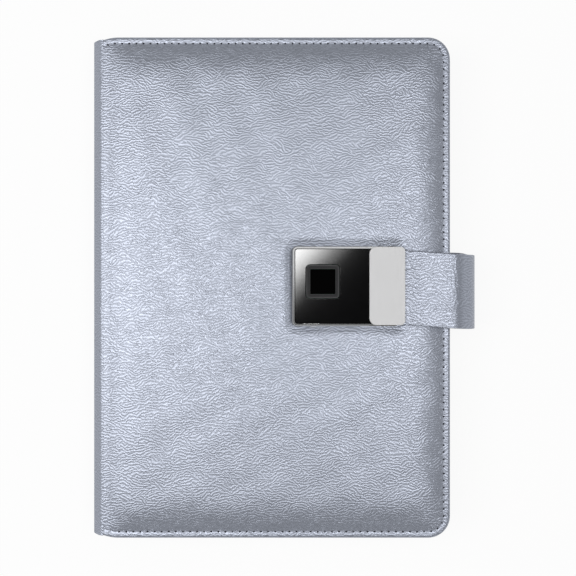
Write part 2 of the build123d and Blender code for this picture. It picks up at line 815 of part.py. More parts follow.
# Circuit board, notched round the charging socket and the motor
with BuildPart() as circuit_board:
    pcb_left = inner_left + pcb_edge_gap
    pcb_right = motor_right
    pcb_low = inner_low + pcb_edge_gap
    pcb_high = inner_high - pcb_edge_gap
    with BuildSketch(Plane.XY.offset(pcb_z)):
        with Locations(((pcb_left + pcb_right) / 2, (pcb_low + pcb_high) / 2)):
            Rectangle(pcb_right - pcb_left, pcb_high - pcb_low)
        with Locations(((motor_left + pcb_right) / 2 + pcb_t, motor_y + motor_diameter)):
            Rectangle(
                pcb_right - motor_left + 2 * pcb_t + 2 * pcb_edge_gap,
                3 * motor_diameter + 2 * pcb_edge_gap,
                mode=Mode.SUBTRACT,
            )
        with Locations((socket_x, socket_front + socket_length / 2)):
            Rectangle(socket_width + 2 * socket_gap, socket_length + 2 * socket_gap, mode=Mode.SUBTRACT)
    extrude(amount=pcb_t)
circuit_board.part.label = "circuit_board"
export_step(circuit_board.part, "parts/circuit_board.step")

with BuildPart() as battery:
    battery_y = (battery_low + battery_high) / 2
    with Locations((battery_left + battery_length / 2, battery_y, floor_z + battery_t / 2)):
        Box(battery_length, battery_high - battery_low, battery_t)
    fillet(battery.edges().filter_by(Axis.X), battery_edge)
battery.part.label = "battery"
export_step(battery.part, "parts/battery.step")

with BuildPart() as usb_socket:
    with BuildSketch(Plane.XZ.offset(-socket_front)):
        with Locations((socket_x, socket_z + socket_height / 2)):
            RectangleRounded(socket_width, socket_height, socket_corner)
    extrude(amount=-socket_length)
    with BuildSketch(Plane.XZ.offset(-socket_front)):
        with Locations((socket_x, socket_z + socket_height / 2)):
            RectangleRounded(
                socket_width - 2 * socket_wall, socket_height - 2 * socket_wall, socket_corner - socket_wall
            )
    extrude(amount=-(socket_length - socket_back), mode=Mode.SUBTRACT)
    with BuildSketch(Plane.XZ.offset(-socket_front - socket_tongue_setback)):
        with Locations((socket_x, socket_z + socket_height / 2)):
            Rectangle(socket_tongue_width, socket_tongue_t)
    extrude(amount=-(socket_length - socket_tongue_setback))
usb_socket.part.label = "usb_socket"
export_step(usb_socket.part, "parts/usb_socket.step")

with BuildPart() as motor:
    with BuildSketch(Plane.YZ.offset(motor_left)):
        with Locations((motor_y, motor_z)):
            Circle(motor_diameter / 2)
            Rectangle(motor_diameter, motor_diameter - 2 * motor_flat, mode=Mode.INTERSECT)
    extrude(amount=motor_length)
    with BuildSketch(Plane.YZ.offset(motor_right)):
        with Locations((motor_y, motor_z)):
            Circle(motor_shaft / 2)
    extrude(amount=pinion_right - motor_right + motor_shaft_end)
motor.part.label = "motor"
export_step(motor.part, "parts/motor.step")

# Rack and pinion: teeth with straight flanks, a rack tooth standing over the pinion at rest
tooth_pitch = 2 * pi * pinion_pitch_radius / pinion_teeth
flank = sin(radians(pressure_angle)) / cos(radians(pressure_angle))
tooth_half = tooth_pitch / 4 - rack_play


def tooth_points(center, foot, tip):
    foot_half = tooth_half + dedendum * flank
    tip_half = tooth_half - addendum * flank
    return [
        (center - foot_half, foot),
        (center - tip_half, tip),
        (center + tip_half, tip),
        (center + foot_half, foot),
    ]


with BuildPart() as pinion:
    root_radius = pinion_pitch_radius - dedendum
    tip_radius = pinion_pitch_radius + addendum
    with BuildSketch(Plane.YZ.offset(pinion_left)):
        with Locations((motor_y, motor_z)):
            Circle(root_radius)
            with PolarLocations(0, pinion_teeth, start_angle=90 + 180 / pinion_teeth):
                with Locations(Location((0, 0), -90)):
                    Polygon(*tooth_points(0, root_radius - addendum, tip_radius), align=None)
            Circle(motor_shaft / 2 + pinion_fit, mode=Mode.SUBTRACT)
    extrude(amount=pinion_length)
pinion.part.label = "pinion"
export_step(pinion.part, "parts/pinion.step")

# Bolt: a bar whose nose drops into the tongue's notch, with an arm that carries the rack
rack_z = motor_z + pinion_pitch_radius
arm_low = rack_z + dedendum
with BuildPart() as bolt:
    with Locations((bolt_x, (nose_y + bolt_end_y) / 2, bolt_z + bolt_t / 2)):
        Box(bolt_width, bolt_end_y - nose_y, bolt_t)
    nose_edges = bolt.edges().filter_by(Axis.Z).group_by(Axis.Y)[0]
    chamfer(nose_edges, bolt_chamfer)
    arm_start = motor_y - bolt_travel - 2 * tooth_pitch
    with Locations((bolt_x, (arm_start + bolt_end_y) / 2, (bolt_z + arm_low + bolt_arm_t) / 2)):
        Box(bolt_width, bolt_end_y - arm_start, arm_low + bolt_arm_t - bolt_z)
    arm_y = (arm_start + bolt_end_y) / 2
    with Locations(((pinion_left + bolt_right) / 2, arm_y, arm_low + bolt_arm_t / 2)):
        Box(bolt_right - pinion_left, bolt_end_y - arm_start, bolt_arm_t)
    with BuildSketch(Plane.YZ.offset(pinion_left)):
        for index in range(rack_teeth):
            center = motor_y + (index + 2 - rack_teeth) * tooth_pitch
            Polygon(*tooth_points(center, arm_low + addendum / 3, rack_z - addendum), align=None)
    extrude(amount=pinion_length)
bolt.part.label = "bolt"
export_step(bolt.part, "parts/bolt.step")

# Silver cap over the lock's mouth, open towards the strap
cap_y = lock_y + cap_shift
cap_width = lock_width - 2 * cap_side_inset
with BuildPart() as silver_cap:
    with BuildSketch(Plane.XY.offset(cap_z)) as cap_outline:
        with Locations(((cap_left + lock_right) / 2, cap_y)):
            Rectangle(cap_length, cap_width)
        fillet(cap_outline.vertices().group_by(Axis.X)[0], cap_corner)
        fillet(cap_outline.vertices().group_by(Axis.X)[-1], lock_corner)
    extrude(amount=cap_plate)
    fillet(silver_cap.faces().sort_by(Axis.Z)[-1].edges(), cap_edge)
    with BuildSketch(Plane.XY.offset(crown_z + skirt_clearance)):
        with Locations(((rim_right + cap_gap + lock_right) / 2, cap_y)):
            Rectangle(lock_right - rim_right - cap_gap, cap_width)
            Rectangle(lock_length, cap_width - 2 * cap_skirt, mode=Mode.SUBTRACT)
        with Locations((lock_right, cap_y)):
            Rectangle(2 * lock_corner, 2 * cap_width, mode=Mode.SUBTRACT)
    extrude(amount=cap_z - crown_z - skirt_clearance)
silver_cap.part.label = "silver_cap"
export_step(silver_cap.part, "parts/silver_cap.step")

# Steel plate inside the cover and its four countersunk screws
with BuildPart() as inner_plate:
    with BuildSketch(Plane.XY.offset(front_inner)):
        add(housing_face(0))
    extrude(amount=lining_t)
    with Locations(Plane.XY.offset(front_inner) * Rotation(180, 0, 0)):
        with Locations(*[(x, -y) for x, y in screw_spots]):
            CounterSinkHole(
                plate_screw_shank / 2 + plate_screw_fit,
                plate_screw_head / 2 + plate_screw_fit,
                lining_t,
            )
inner_plate.part.label = "inner_plate"
export_step(inner_plate.part, "parts/inner_plate.step")

with BuildPart() as plate_screw:
    with BuildSketch(Plane.XZ):
        with BuildLine():
            Polyline(
                (0, 0),
                (plate_screw_head / 2, 0),
                (plate_screw_shank / 2, (plate_screw_head - plate_screw_shank) / 2),
                (plate_screw_shank / 2, plate_screw_length),
                (0, plate_screw_length),
                close=True,
            )
        make_face()
    revolve(axis=Axis.Z)

with BuildPart() as plate_screws:
    with Locations(*[(x, y, front_inner) for x, y in screw_spots]):
        add(plate_screw.part)
plate_screws.part.label = "plate_screws"
export_step(plate_screws.part, "parts/plate_screws.step")

# Strap: leather outside, spring steel within, lining inside, bowed from the back cover over the fore-edge
strap_bow_x = edge_x + strap_reach - strap_t - strap_inner_radius
strap_top_center = strap_top_inner - strap_inner_radius
strap_low_center = strap_low_inner + strap_inner_radius
strap_mouth_x = housing_right + strap_mouth_play


# One layer of the bow between two offsets from its inner face
def strap_layer(inner_offset, thickness, top_start, low_end, width):
    inner = strap_inner_radius + inner_offset
    outer = inner + thickness
    mid = sqrt(0.5)
    with BuildPart() as layer:
        with BuildSketch(Plane.XZ):
            with BuildLine():
                Line((top_start, strap_top_center + outer), (strap_bow_x, strap_top_center + outer))
                ThreePointArc(
                    (strap_bow_x, strap_top_center + outer),
                    (strap_bow_x + outer * mid, strap_top_center + outer * mid),
                    (strap_bow_x + outer, strap_top_center),
                )
                Line((strap_bow_x + outer, strap_top_center), (strap_bow_x + outer, strap_low_center))
                ThreePointArc(
                    (strap_bow_x + outer, strap_low_center),
                    (strap_bow_x + outer * mid, strap_low_center - outer * mid),
                    (strap_bow_x, strap_low_center - outer),
                )
                Polyline(
                    (strap_bow_x, strap_low_center - outer),
                    (low_end, strap_low_center - outer),
                    (low_end, strap_low_center - inner),
                    (strap_bow_x, strap_low_center - inner),
                )
                ThreePointArc(
                    (strap_bow_x, strap_low_center - inner),
                    (strap_bow_x + inner * mid, strap_low_center - inner * mid),
                    (strap_bow_x + inner, strap_low_center),
                )
                Line((strap_bow_x + inner, strap_low_center), (strap_bow_x + inner, strap_top_center))
                ThreePointArc(
                    (strap_bow_x + inner, strap_top_center),
                    (strap_bow_x + inner * mid, strap_top_center + inner * mid),
                    (strap_bow_x, strap_top_center + inner),
                )
                Polyline(
                    (strap_bow_x, strap_top_center + inner),
                    (top_start, strap_top_center + inner),
                    (top_start, strap_top_center + outer),
                )
            make_face()
        extrude(amount=width / 2, both=True)
    return layer.part


with BuildPart() as strap_leather:
    add(
        strap_layer(
            strap_lining_t + strap_core_t, strap_leather_t, strap_mouth_x, edge_x - strap_tail, strap_width
        )
    )
strap_leather.part.label = "strap_leather"
export_step(strap_leather.part, "parts/strap_leather.step")

with BuildPart() as strap_lining:
    add(strap_layer(0, strap_lining_t, strap_mouth_x, edge_x + strap_edge_gap, strap_width))
strap_lining.part.label = "strap_lining"
export_step(strap_lining.part, "parts/strap_lining.step")

with BuildPart() as strap_core:
    shoulder_x = strap_mouth_x + tongue_shoulder
    tongue_end = strap_mouth_x - tongue_length
    add(strap_layer(strap_lining_t, strap_core_t, shoulder_x, edge_x + strap_edge_gap, core_width))
    with BuildSketch(Plane.XY.offset(tongue_z)):
        with Locations(((tongue_end + shoulder_x) / 2, 0)):
            Rectangle(shoulder_x - tongue_end, tongue_width)
        with Locations((bolt_x, tongue_width / 2)):
            Rectangle(bolt_width + 2 * notch_play, 2 * notch_depth, mode=Mode.SUBTRACT)
    extrude(amount=strap_core_t)
    fillet(strap_core.edges().filter_by(Axis.Z).group_by(Axis.X)[0], tongue_corner)
strap_core.part.label = "strap_core"
export_step(strap_core.part, "parts/strap_core.step")
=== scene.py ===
"""Leather, stitching, pages and finishes for a padded ring notebook with a fingerprint lock."""

import json
from math import cos, pi, radians, sin, tan, tau

import bpy
import numpy as np
from bpy.props import FloatProperty, FloatVectorProperty, IntProperty, PointerProperty
from bpy.types import NodeSocket, Operator, Panel, PropertyGroup
from mathutils import Matrix, Vector


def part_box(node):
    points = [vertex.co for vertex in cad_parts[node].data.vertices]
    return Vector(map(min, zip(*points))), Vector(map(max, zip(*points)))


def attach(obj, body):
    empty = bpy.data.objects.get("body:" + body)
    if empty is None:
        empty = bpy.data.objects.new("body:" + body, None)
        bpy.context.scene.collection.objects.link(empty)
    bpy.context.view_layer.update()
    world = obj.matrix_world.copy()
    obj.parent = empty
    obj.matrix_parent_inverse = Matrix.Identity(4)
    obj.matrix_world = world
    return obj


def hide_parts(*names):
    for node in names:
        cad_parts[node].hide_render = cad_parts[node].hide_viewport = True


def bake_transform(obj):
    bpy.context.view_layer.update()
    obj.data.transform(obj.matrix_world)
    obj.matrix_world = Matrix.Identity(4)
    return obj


bl_info = {
    "name": "Fingerprint lock notebook",
    "version": (1, 0, 0),
    "blender": (4, 5, 0),
    "location": "3D View > Sidebar > Notebook",
    "description": "Makes the leather, stitching, pages, lock finishes and studio of a ring notebook",
    "category": "Object",
}

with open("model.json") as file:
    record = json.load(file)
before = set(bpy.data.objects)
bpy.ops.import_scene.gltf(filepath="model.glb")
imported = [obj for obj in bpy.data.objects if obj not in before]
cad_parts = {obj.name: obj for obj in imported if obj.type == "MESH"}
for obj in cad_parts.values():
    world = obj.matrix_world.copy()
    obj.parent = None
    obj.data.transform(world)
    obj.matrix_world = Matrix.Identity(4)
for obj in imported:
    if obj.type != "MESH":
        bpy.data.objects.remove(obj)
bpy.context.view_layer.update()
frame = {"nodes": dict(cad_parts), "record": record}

MM = 0.001
FRONT = 1
BACK = -1
UP = 1
DOWN = -1

# Places read from the frame, in metres
cover_low, cover_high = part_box("front_leather")
back_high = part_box("back_leather")[1]
spine_low, spine_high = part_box("spine_leather")
hinge_end_y, body_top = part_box("front_hinge_leather")[1][1:]
rings_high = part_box("upper_half_rings")[1]
lock_low, lock_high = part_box("lock_housing")
rim_low, rim_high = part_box("chrome_rim")
strap_low, strap_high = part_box("strap_leather")

hinge_x = cover_low[0]
edge_x = cover_high[0]
half_length = cover_high[1]
middle_z = body_top / 2
cover_depth = body_top - cover_low[2]
crown_rise = cover_high[2] - body_top

# Covers
corner_radius = 10.2 * MM
corner_x = edge_x - corner_radius
corner_y = half_length - corner_radius
edge_round = 0.9 * MM
turn_in = 11.0 * MM
seam_start = hinge_x + 0.5 * MM
crown_start = hinge_x + 1.5 * MM
crown_unevenness = 0.10
dip_depth = 1.0 * MM
dip_reach = 2.7 * MM
taper_length = 7 * MM
leather_thickness = 1.0 * MM
lining_thickness = 0.6 * MM
bend_cell = 0.6 * MM
end_trim = 1.0 * MM
bend_radius = 3.0 * MM
bend_flat = 1.3 * MM

# Strap
strap_bow = 9.5 * MM
strap_steel_thickness = 0.6 * MM
strap_lining_thickness = 0.8 * MM
strap_radius = strap_bow + leather_thickness + strap_steel_thickness + strap_lining_thickness
strap_skew = 2.0 * MM
wrinkle_depth = 0.08 * MM

# Pages and rings
page_width = 142 * MM
punch_x = 6.0 * MM
ring_wire = 1.25 * MM
ring_play = 0.95 * MM
leaf_gap = 0.2 * MM
leaf_share = 0.92
spread_start = 16 * MM
spread_length = 44 * MM
leaf_parts = 24


def colour_setting(name, description, default):
    return FloatVectorProperty(
        name=name, description=description, subtype="COLOR", default=default, min=0.0, max=1.0
    )


def length_setting(name, description, default, low, high):
    """A length and its limits, given in millimetres."""
    return FloatProperty(
        name=name, description=description, unit="LENGTH", default=default * MM, min=low * MM, max=high * MM
    )


def share_setting(name, description, default, high=1.0):
    return FloatProperty(name=name, description=description, default=default, min=0.0, max=high)


class NotebookLeather(PropertyGroup):
    """Sizes and colour of the leather."""

    colour: colour_setting("Leather colour", "Colour of the pearl leather", (0.315, 0.338, 0.396))
    lining_colour: colour_setting("Lining colour", "Colour of the lining inside", (0.30, 0.32, 0.40))
    pearl: share_setting("Pearl", "Share of the leather's light that its pearl coat reflects", 0.72)
    thickness: length_setting("Leather thickness", "Thickness of the pared leather", 0.6, 0.3, 1.5)
    cell: length_setting("Mesh cell", "Distance between the rows of the leather's mesh", 1.6, 0.8, 4)
    grain_length: length_setting("Grain length", "Length of a ripple, across the cover", 2.0, 0.5, 20)
    grain_width: length_setting("Grain width", "Width of a ripple, along the cover", 1.25, 0.3, 10)
    grain_depth: length_setting("Grain depth", "Height of the ripples of the grain", 0.06, 0, 2)
    padding_border: length_setting("Flat border", "Width of the border outside the padding", 3.6, 1, 15)
    padding_slope: length_setting("Padding slope", "Width over which the padding rises", 19, 4, 40)


class NotebookStitching(PropertyGroup):
    """Sizes of the stitching along the covers' edges."""

    pitch: length_setting("Stitch pitch", "Distance from one needle hole to the next", 3.3, 1.5, 8)
    inset: length_setting("Stitch inset", "Distance of the stitching from the cover's edge", 3.0, 1.5, 10)
    thread: length_setting("Thread diameter", "Diameter of the sewing thread", 0.6, 0.2, 1.5)
    hole: length_setting("Needle hole", "Diameter of a needle hole", 0.86, 0.2, 2)
    groove: length_setting("Groove depth", "How far the thread draws the leather down", 0.28, 0, 1)


class NotebookPages(PropertyGroup):
    """Sizes and colour of the pages."""

    leaves: IntProperty(
        name="Leaves", description="Number of leaves modelled in each block of pages",
        default=26, min=4, max=60,
    )
    colour: colour_setting("Paper colour", "Colour of the paper", (0.90, 0.88, 0.81))
    ruling: length_setting("Ruling", "Distance between the ruled lines", 7, 3, 15)
    hole: length_setting("Punched hole", "Diameter of the punched holes", 5.5, 3, 8)
    corner: length_setting("Page corner", "Radius of the pages' outer corners", 6, 0.5, 15)
    straying: length_setting("Straying", "How far the leaves lie out of line", 0.12, 0, 1)


class NotebookLock(PropertyGroup):
    """Finish of the lock's outside pieces."""

    cap_colour: colour_setting("Cap colour", "Colour of the satin cap", (0.56, 0.56, 0.565))
    cap_edge: length_setting("Cap edge", "Width of the cap's rounded edges", 0.35, 0.05, 0.45)
    panel_edge: length_setting("Panel edge", "Width of the panel's rounded edges", 0.45, 0.05, 0.6)


class NotebookStudio(PropertyGroup):
    """The camera, lamps and floor."""

    camera_height: length_setting("Camera height", "Height of the camera above the cover", 520, 200, 3000)
    view_width: length_setting("View width", "Width seen at the cover", 576 * 0.465, 100, 1000)
    camera_x: length_setting("Camera across", "Place between the spine and fore-edge", 1.56, -100, 100)
    camera_y: length_setting("Camera along", "Place of the camera along the pages", -0.19, -100, 100)
    lamp_strength: share_setting("Lamp strength", "Strength of all the lamps", 1.0, 10.0)
    world_strength: share_setting("Room light", "Strength of the light from all round", 0.32, 2.0)
    ceiling_strength: share_setting("Ceiling", "Brightness of the ceiling in reflections", 0.15)


# Meshes

def activate(piece):
    bpy.ops.object.select_all(action="DESELECT")
    piece.select_set(True)
    bpy.context.view_layer.objects.active = piece


def start_edit(piece, action=None):
    """Enters edit mode on the piece, and selects or deselects all of it if asked."""
    activate(piece)
    bpy.ops.object.mode_set(mode="EDIT")
    if action:
        bpy.ops.mesh.select_all(action=action)


def end_edit():
    bpy.ops.object.mode_set(mode="OBJECT")


def flip_normals(piece):
    start_edit(piece, "SELECT")
    bpy.ops.mesh.flip_normals()
    end_edit()


def choose(piece, kind, elements, chosen):
    """Leaves only the chosen elements of the piece selected, kind being VERT, EDGE or FACE."""
    start_edit(piece)
    bpy.ops.mesh.select_mode(type=kind)
    bpy.ops.mesh.select_all(action="DESELECT")
    end_edit()
    elements.foreach_set("select", np.asarray(chosen, bool))


def rows_of(elements, name, width, kind=float):
    """A row of values for each of a mesh's vertices, edges or faces."""
    values = np.empty(len(elements) * width, kind)
    elements.foreach_get(name, values)
    return values.reshape(-1, width)


def points_of(piece):
    return rows_of(piece.data.vertices, "co", 3)


def edge_ends(piece):
    """The points at the two ends of each edge."""
    ends = rows_of(piece.data.edges, "vertices", 2, np.int32)
    points = points_of(piece)
    return points[ends[:, 0]], points[ends[:, 1]]


def place_points(piece, x, y, z):
    piece.data.vertices.foreach_set("co", np.column_stack((x, y, z)).ravel())
    piece.data.update()


def settle(piece):
    """Puts the piece's place into its mesh and leaves its object at the origin."""
    activate(piece)
    bpy.ops.object.transform_apply(location=True, rotation=True, scale=True)
    return piece


def added(name):
    """The object that the last operator added, under its own name."""
    piece = bpy.context.active_object
    piece.name = name
    return piece


def add_grid(name, columns, rows):
    """A flat grid from 0 to 1 along X and Y."""
    bpy.ops.mesh.primitive_grid_add(
        x_subdivisions=columns, y_subdivisions=rows, size=1, location=(0.5, 0.5, 0)
    )
    return settle(added(name))


def apply_modifier(piece, kind, **settings):
    activate(piece)
    modifier = piece.modifiers.new(kind.title(), kind)
    for key, value in settings.items():
        setattr(modifier, key, value)
    bpy.ops.object.modifier_apply(modifier=modifier.name)
    return piece


def thicken(piece, thickness):
    """Gives a sheet its thickness on the side away from its normals."""
    return apply_modifier(piece, "SOLIDIFY", thickness=thickness, offset=-1.0)


def round_edges(piece, width, segments=2, angle=40):
    return apply_modifier(
        piece, "BEVEL", width=width, segments=segments, limit_method="ANGLE", angle_limit=radians(angle),
        harden_normals=False, use_clamp_overlap=True,
    )


def smooth(piece, angle=35):
    activate(piece)
    bpy.ops.object.shade_smooth_by_angle(angle=radians(angle))
    return piece


def cut_out(piece, cutter):
    """Takes the cutter's volume out of the piece and deletes the cutter."""
    apply_modifier(piece, "BOOLEAN", operation="DIFFERENCE", solver="EXACT", object=cutter)
    bpy.data.objects.remove(cutter, do_unlink=True)
    return piece


def rounded_block(name, low, high, corner):
    """A block with its upright edges rounded."""
    low, high = Vector(low), Vector(high)
    bpy.ops.mesh.primitive_cube_add(size=1, location=(low + high) / 2)
    block = added(name)
    block.scale = high - low
    settle(block)
    first, second = edge_ends(block)
    choose(block, "EDGE", block.data.edges, np.abs(first - second)[:, 2] > 0.5 * (high - low).z)
    start_edit(block)
    bpy.ops.mesh.bevel(offset=corner, segments=6, affect="EDGES")
    end_edit()
    return block


def joined(name, pieces):
    activate(pieces[0])
    for piece in pieces:
        piece.select_set(True)
    bpy.ops.object.join()
    whole = added(name)
    whole.data.name = name
    return whole


def duplicate(model):
    made = model.copy()
    made.data = model.data.copy()
    bpy.context.scene.collection.objects.link(made)
    return made


def softened(node, width, segments=2, angle=50):
    """A copy of a rigid CAD node with its sharp edges rounded, standing for it."""
    piece = duplicate(frame["nodes"][node])
    piece.name = node + "_finished"
    piece.parent = None
    piece.matrix_world = Matrix.Identity(4)
    for key in list(piece.keys()):
        if key.startswith("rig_"):
            del piece[key]
    start_edit(piece, "SELECT")
    bpy.ops.mesh.remove_doubles(threshold=0.002 * MM)
    bpy.ops.mesh.dissolve_limited(angle_limit=radians(1))
    end_edit()
    round_edges(piece, width, segments, angle)
    smooth(piece, 30)
    return apply_modifier(piece, "WEIGHTED_NORMAL", keep_sharp=True)


# Paths in a plane, made of straight runs and arcs

def straight(start, end):
    return "straight", np.array(start, float), np.array(end, float)


def arc(centre, radius, first, last):
    return "arc", np.array(centre, float), radius, radians(first), radians(last)


def run_length(run):
    if run[0] == "straight":
        return float(np.linalg.norm(run[2] - run[1]))
    return abs(run[4] - run[3]) * run[2]


def run_points(run, shares):
    if run[0] == "straight":
        return run[1] + np.outer(shares, run[2] - run[1])
    turn = run[3] + (run[4] - run[3]) * shares
    return run[1] + run[2] * np.column_stack((np.cos(turn), np.sin(turn)))


def path_length(path):
    return sum(run_length(run) for run in path)


def along(path, shares):
    """Points of the path at these shares of its length."""
    lengths = np.array([run_length(run) for run in path])
    ends = np.concatenate(([0], np.cumsum(lengths)))
    travel = np.clip(shares, 0, 1) * ends[-1]
    which = np.clip(np.searchsorted(ends, travel, side="right") - 1, 0, len(path) - 1)
    points = np.empty((len(shares), 2))
    for index, run in enumerate(path):
        mine = which == index
        points[mine] = run_points(run, (travel[mine] - ends[index]) / lengths[index])
    return points


def bend_path(left, bend, low, inset=0.0, side=FRONT):
    """The turn from the spine's upright face to a cover's level one: two soft corners and a slope between."""
    radius = bend_radius - inset
    start = bend_flat - bend_radius * tan(pi / 8)
    slant = radius * cos(pi / 4)
    path = [
        straight((inset, 0), (inset, start)),
        arc((bend_radius, start), radius, 180, 135),
        straight((bend_radius - slant, start + slant), (bend - start - slant, bend - bend_radius + slant)),
        arc((bend - start, bend - bend_radius), radius, 135, 90),
        straight((bend - start, bend - inset), (bend, bend - inset)),
    ]
    return [placed_run(run, left, low, side) for run in path[::side]]


def placed_run(run, left, low, side):
    """The run moved to its place, or turned upside down and round for the back."""
    move = np.array((left, low))
    flip = np.array((1, side))
    if run[0] == "straight":
        ends = (run[1] * flip + move, run[2] * flip + move)
        return "straight", *ends[::side]
    turns = (run[3] * side, run[4] * side)
    return "arc", run[1] * flip + move, run[2], *turns[::side]


def bent_sheet(name, path, low_y, high_y, thickness, cell, rounding=0, sway=None, trim=None):
    """A sheet of that thickness bent along a path in the XZ plane, its outer face on the path.

    Sway gives how far it strays along Y, and trim how much shorter than high_y each half is."""
    columns = max(8, int(round(path_length(path) / cell)))
    rows = max(2, int(round((high_y - low_y) / cell)))
    piece = add_grid(name, columns, rows)
    flat = points_of(piece)
    x, z = along(path, flat[:, 0]).T
    y = low_y + flat[:, 1] * (high_y - low_y)
    if trim is not None:
        y = y * (1 - trim(flat[:, 0]) / high_y)
    if sway is not None:
        y = y + sway(x, z)
    place_points(piece, x, y, z)
    thicken(piece, thickness)
    if rounding:
        round_edges(piece, rounding, 2, 50)
    return smooth(piece, 40)


# Materials

EVEN = (1, 1, 1)
ALONG_X = (0.02, 1, 1)
ALONG_Y = (1, 0.03, 1)


def wire(tree, node, inputs):
    """Links other nodes' outputs into the node's inputs, and sets plain values."""
    for key, value in inputs.items():
        if isinstance(value, NodeSocket):
            tree.links.new(value, node.inputs[key])
        else:
            node.inputs[key].default_value = value
    return node


def add_node(tree, kind, inputs=None, **settings):
    made = tree.nodes.new(kind)
    for key, value in settings.items():
        setattr(made, key, value)
    return wire(tree, made, inputs or {})


def new_material(name, colour, roughness, metallic=0.0):
    material = bpy.data.materials.new(name)
    material.use_nodes = True
    tree = material.node_tree
    shader = tree.nodes["Principled BSDF"]
    wire(tree, shader, {"Base Color": (*colour, 1), "Roughness": roughness, "Metallic": metallic})
    return material, tree, shader


def place_in_mm(tree, stretch=EVEN, turn=(0, 0, 0)):
    """Object coordinates in millimetres, turned and then stretched."""
    place = add_node(tree, "ShaderNodeTexCoord").outputs["Object"]
    scale = tuple(part / MM for part in stretch)
    mapping = add_node(tree, "ShaderNodeMapping", {"Vector": place, "Scale": scale, "Rotation": turn})
    return mapping.outputs["Vector"]


def separate(tree, vector):
    return add_node(tree, "ShaderNodeSeparateXYZ", {0: vector}).outputs


def noise(tree, vector, scale, detail=2.0, roughness=0.5):
    return add_node(
        tree, "ShaderNodeTexNoise",
        {"Vector": vector, "Scale": scale, "Detail": detail, "Roughness": roughness, "Distortion": 0.0},
    ).outputs


def calc(tree, operation, *values):
    """The result of a sum on numbers and other nodes' outputs."""
    return add_node(tree, "ShaderNodeMath", dict(enumerate(values)), operation=operation).outputs[0]


def remap(tree, value, low, high, new_low, new_high):
    return add_node(
        tree, "ShaderNodeMapRange",
        {"Value": value, "From Min": low, "From Max": high, "To Min": new_low, "To Max": new_high},
    ).outputs["Result"]


def ramp(tree, factor, low, high, low_colour, high_colour):
    made = add_node(tree, "ShaderNodeValToRGB", {"Fac": factor})
    stops = ((low, low_colour), (high, high_colour))
    for element, (position, colour) in zip(made.color_ramp.elements, stops):
        element.position = position
        element.color = (*colour, 1)
    return made.outputs["Color"]


def bump(tree, height, shader, distance, strength=1.0):
    made = add_node(tree, "ShaderNodeBump", {"Height": height, "Strength": strength, "Distance": distance})
    wire(tree, shader, {"Normal": made.outputs["Normal"]})


def shade(colour, factor):
    return tuple(min(1.0, channel * factor) for channel in colour)


def unrolled(tree, place):
    """Level coordinates that carry on down the edges, so that the grain runs on round them."""
    apart = separate(tree, place)
    down = calc(tree, "MAXIMUM", calc(tree, "SUBTRACT", body_top / MM, apart["Z"]), 0.0)
    level = {}
    for axis, reach in (("X", edge_x / MM), ("Y", half_length / MM)):
        lean = calc(tree, "MULTIPLY", calc(tree, "DIVIDE", apart[axis], reach), down)
        level[axis] = calc(tree, "ADD", apart[axis], lean)
    return add_node(tree, "ShaderNodeCombineXYZ", level).outputs[0]


def leather_material():
    """Pearl leather with a grain of short ripples that run across the cover."""
    sizes = bpy.context.scene.notebook_leather
    colour = tuple(sizes.colour)
    material, tree, shader = new_material("pearl_leather_grain", colour, 0.40, sizes.pearl)
    place = place_in_mm(tree)
    level = unrolled(tree, place)
    drift = noise(tree, level, 0.13, 2.0, 0.55)["Color"]
    wander = add_node(tree, "ShaderNodeSeparateColor", {0: drift}).outputs[0]
    pushed = add_node(
        tree, "ShaderNodeVectorMath", {0: drift, 1: (3, 3, 3), 2: level}, operation="MULTIPLY_ADD"
    )
    ripple = add_node(
        tree, "ShaderNodeTexGabor",
        {
            "Vector": pushed.outputs[0],
            "Orientation 2D": remap(tree, wander, 0.3, 0.7, radians(90 - 42), radians(90 + 42)),
            "Scale": MM / sizes.grain_length,
            "Frequency": sizes.grain_length / sizes.grain_width,
            "Anisotropy": 0.72,
        },
        gabor_type="2D",
    )
    wave = calc(tree, "SINE", calc(tree, "MULTIPLY", ripple.outputs["Phase"], tau))
    fine = calc(tree, "MULTIPLY", noise(tree, place, 1.9, 2.0, 0.6)["Fac"], 0.30)
    height = calc(tree, "ADD", calc(tree, "MULTIPLY_ADD", wave, 0.40, 0.5), fine)
    wire(tree, shader, {
        "Base Color": ramp(tree, height, 0.22, 1.05, shade(colour, 0.82), shade(colour, 1.12)),
        "Roughness": remap(tree, height, 0.2, 1.0, 0.42, 0.33),
    })
    bump(tree, height, shader, sizes.grain_depth)
    return material


def lining_material():
    """Thin smooth lining leather with a fine pebble."""
    colour = tuple(bpy.context.scene.notebook_leather.lining_colour)
    material, tree, shader = new_material("inner_lining", colour, 0.55)
    place = place_in_mm(tree)
    cells = add_node(
        tree, "ShaderNodeTexVoronoi", {"Vector": place, "Scale": 1.1, "Randomness": 0.9},
        feature="DISTANCE_TO_EDGE",
    )
    soft = noise(tree, place, 0.08)["Fac"]
    tone = ramp(tree, soft, 0.3, 0.7, shade(colour, 0.9), shade(colour, 1.08))
    wire(tree, shader, {"Base Color": tone})
    bump(tree, calc(tree, "MINIMUM", cells.outputs["Distance"], 0.22), shader, 0.25 * MM, 0.6)
    return material


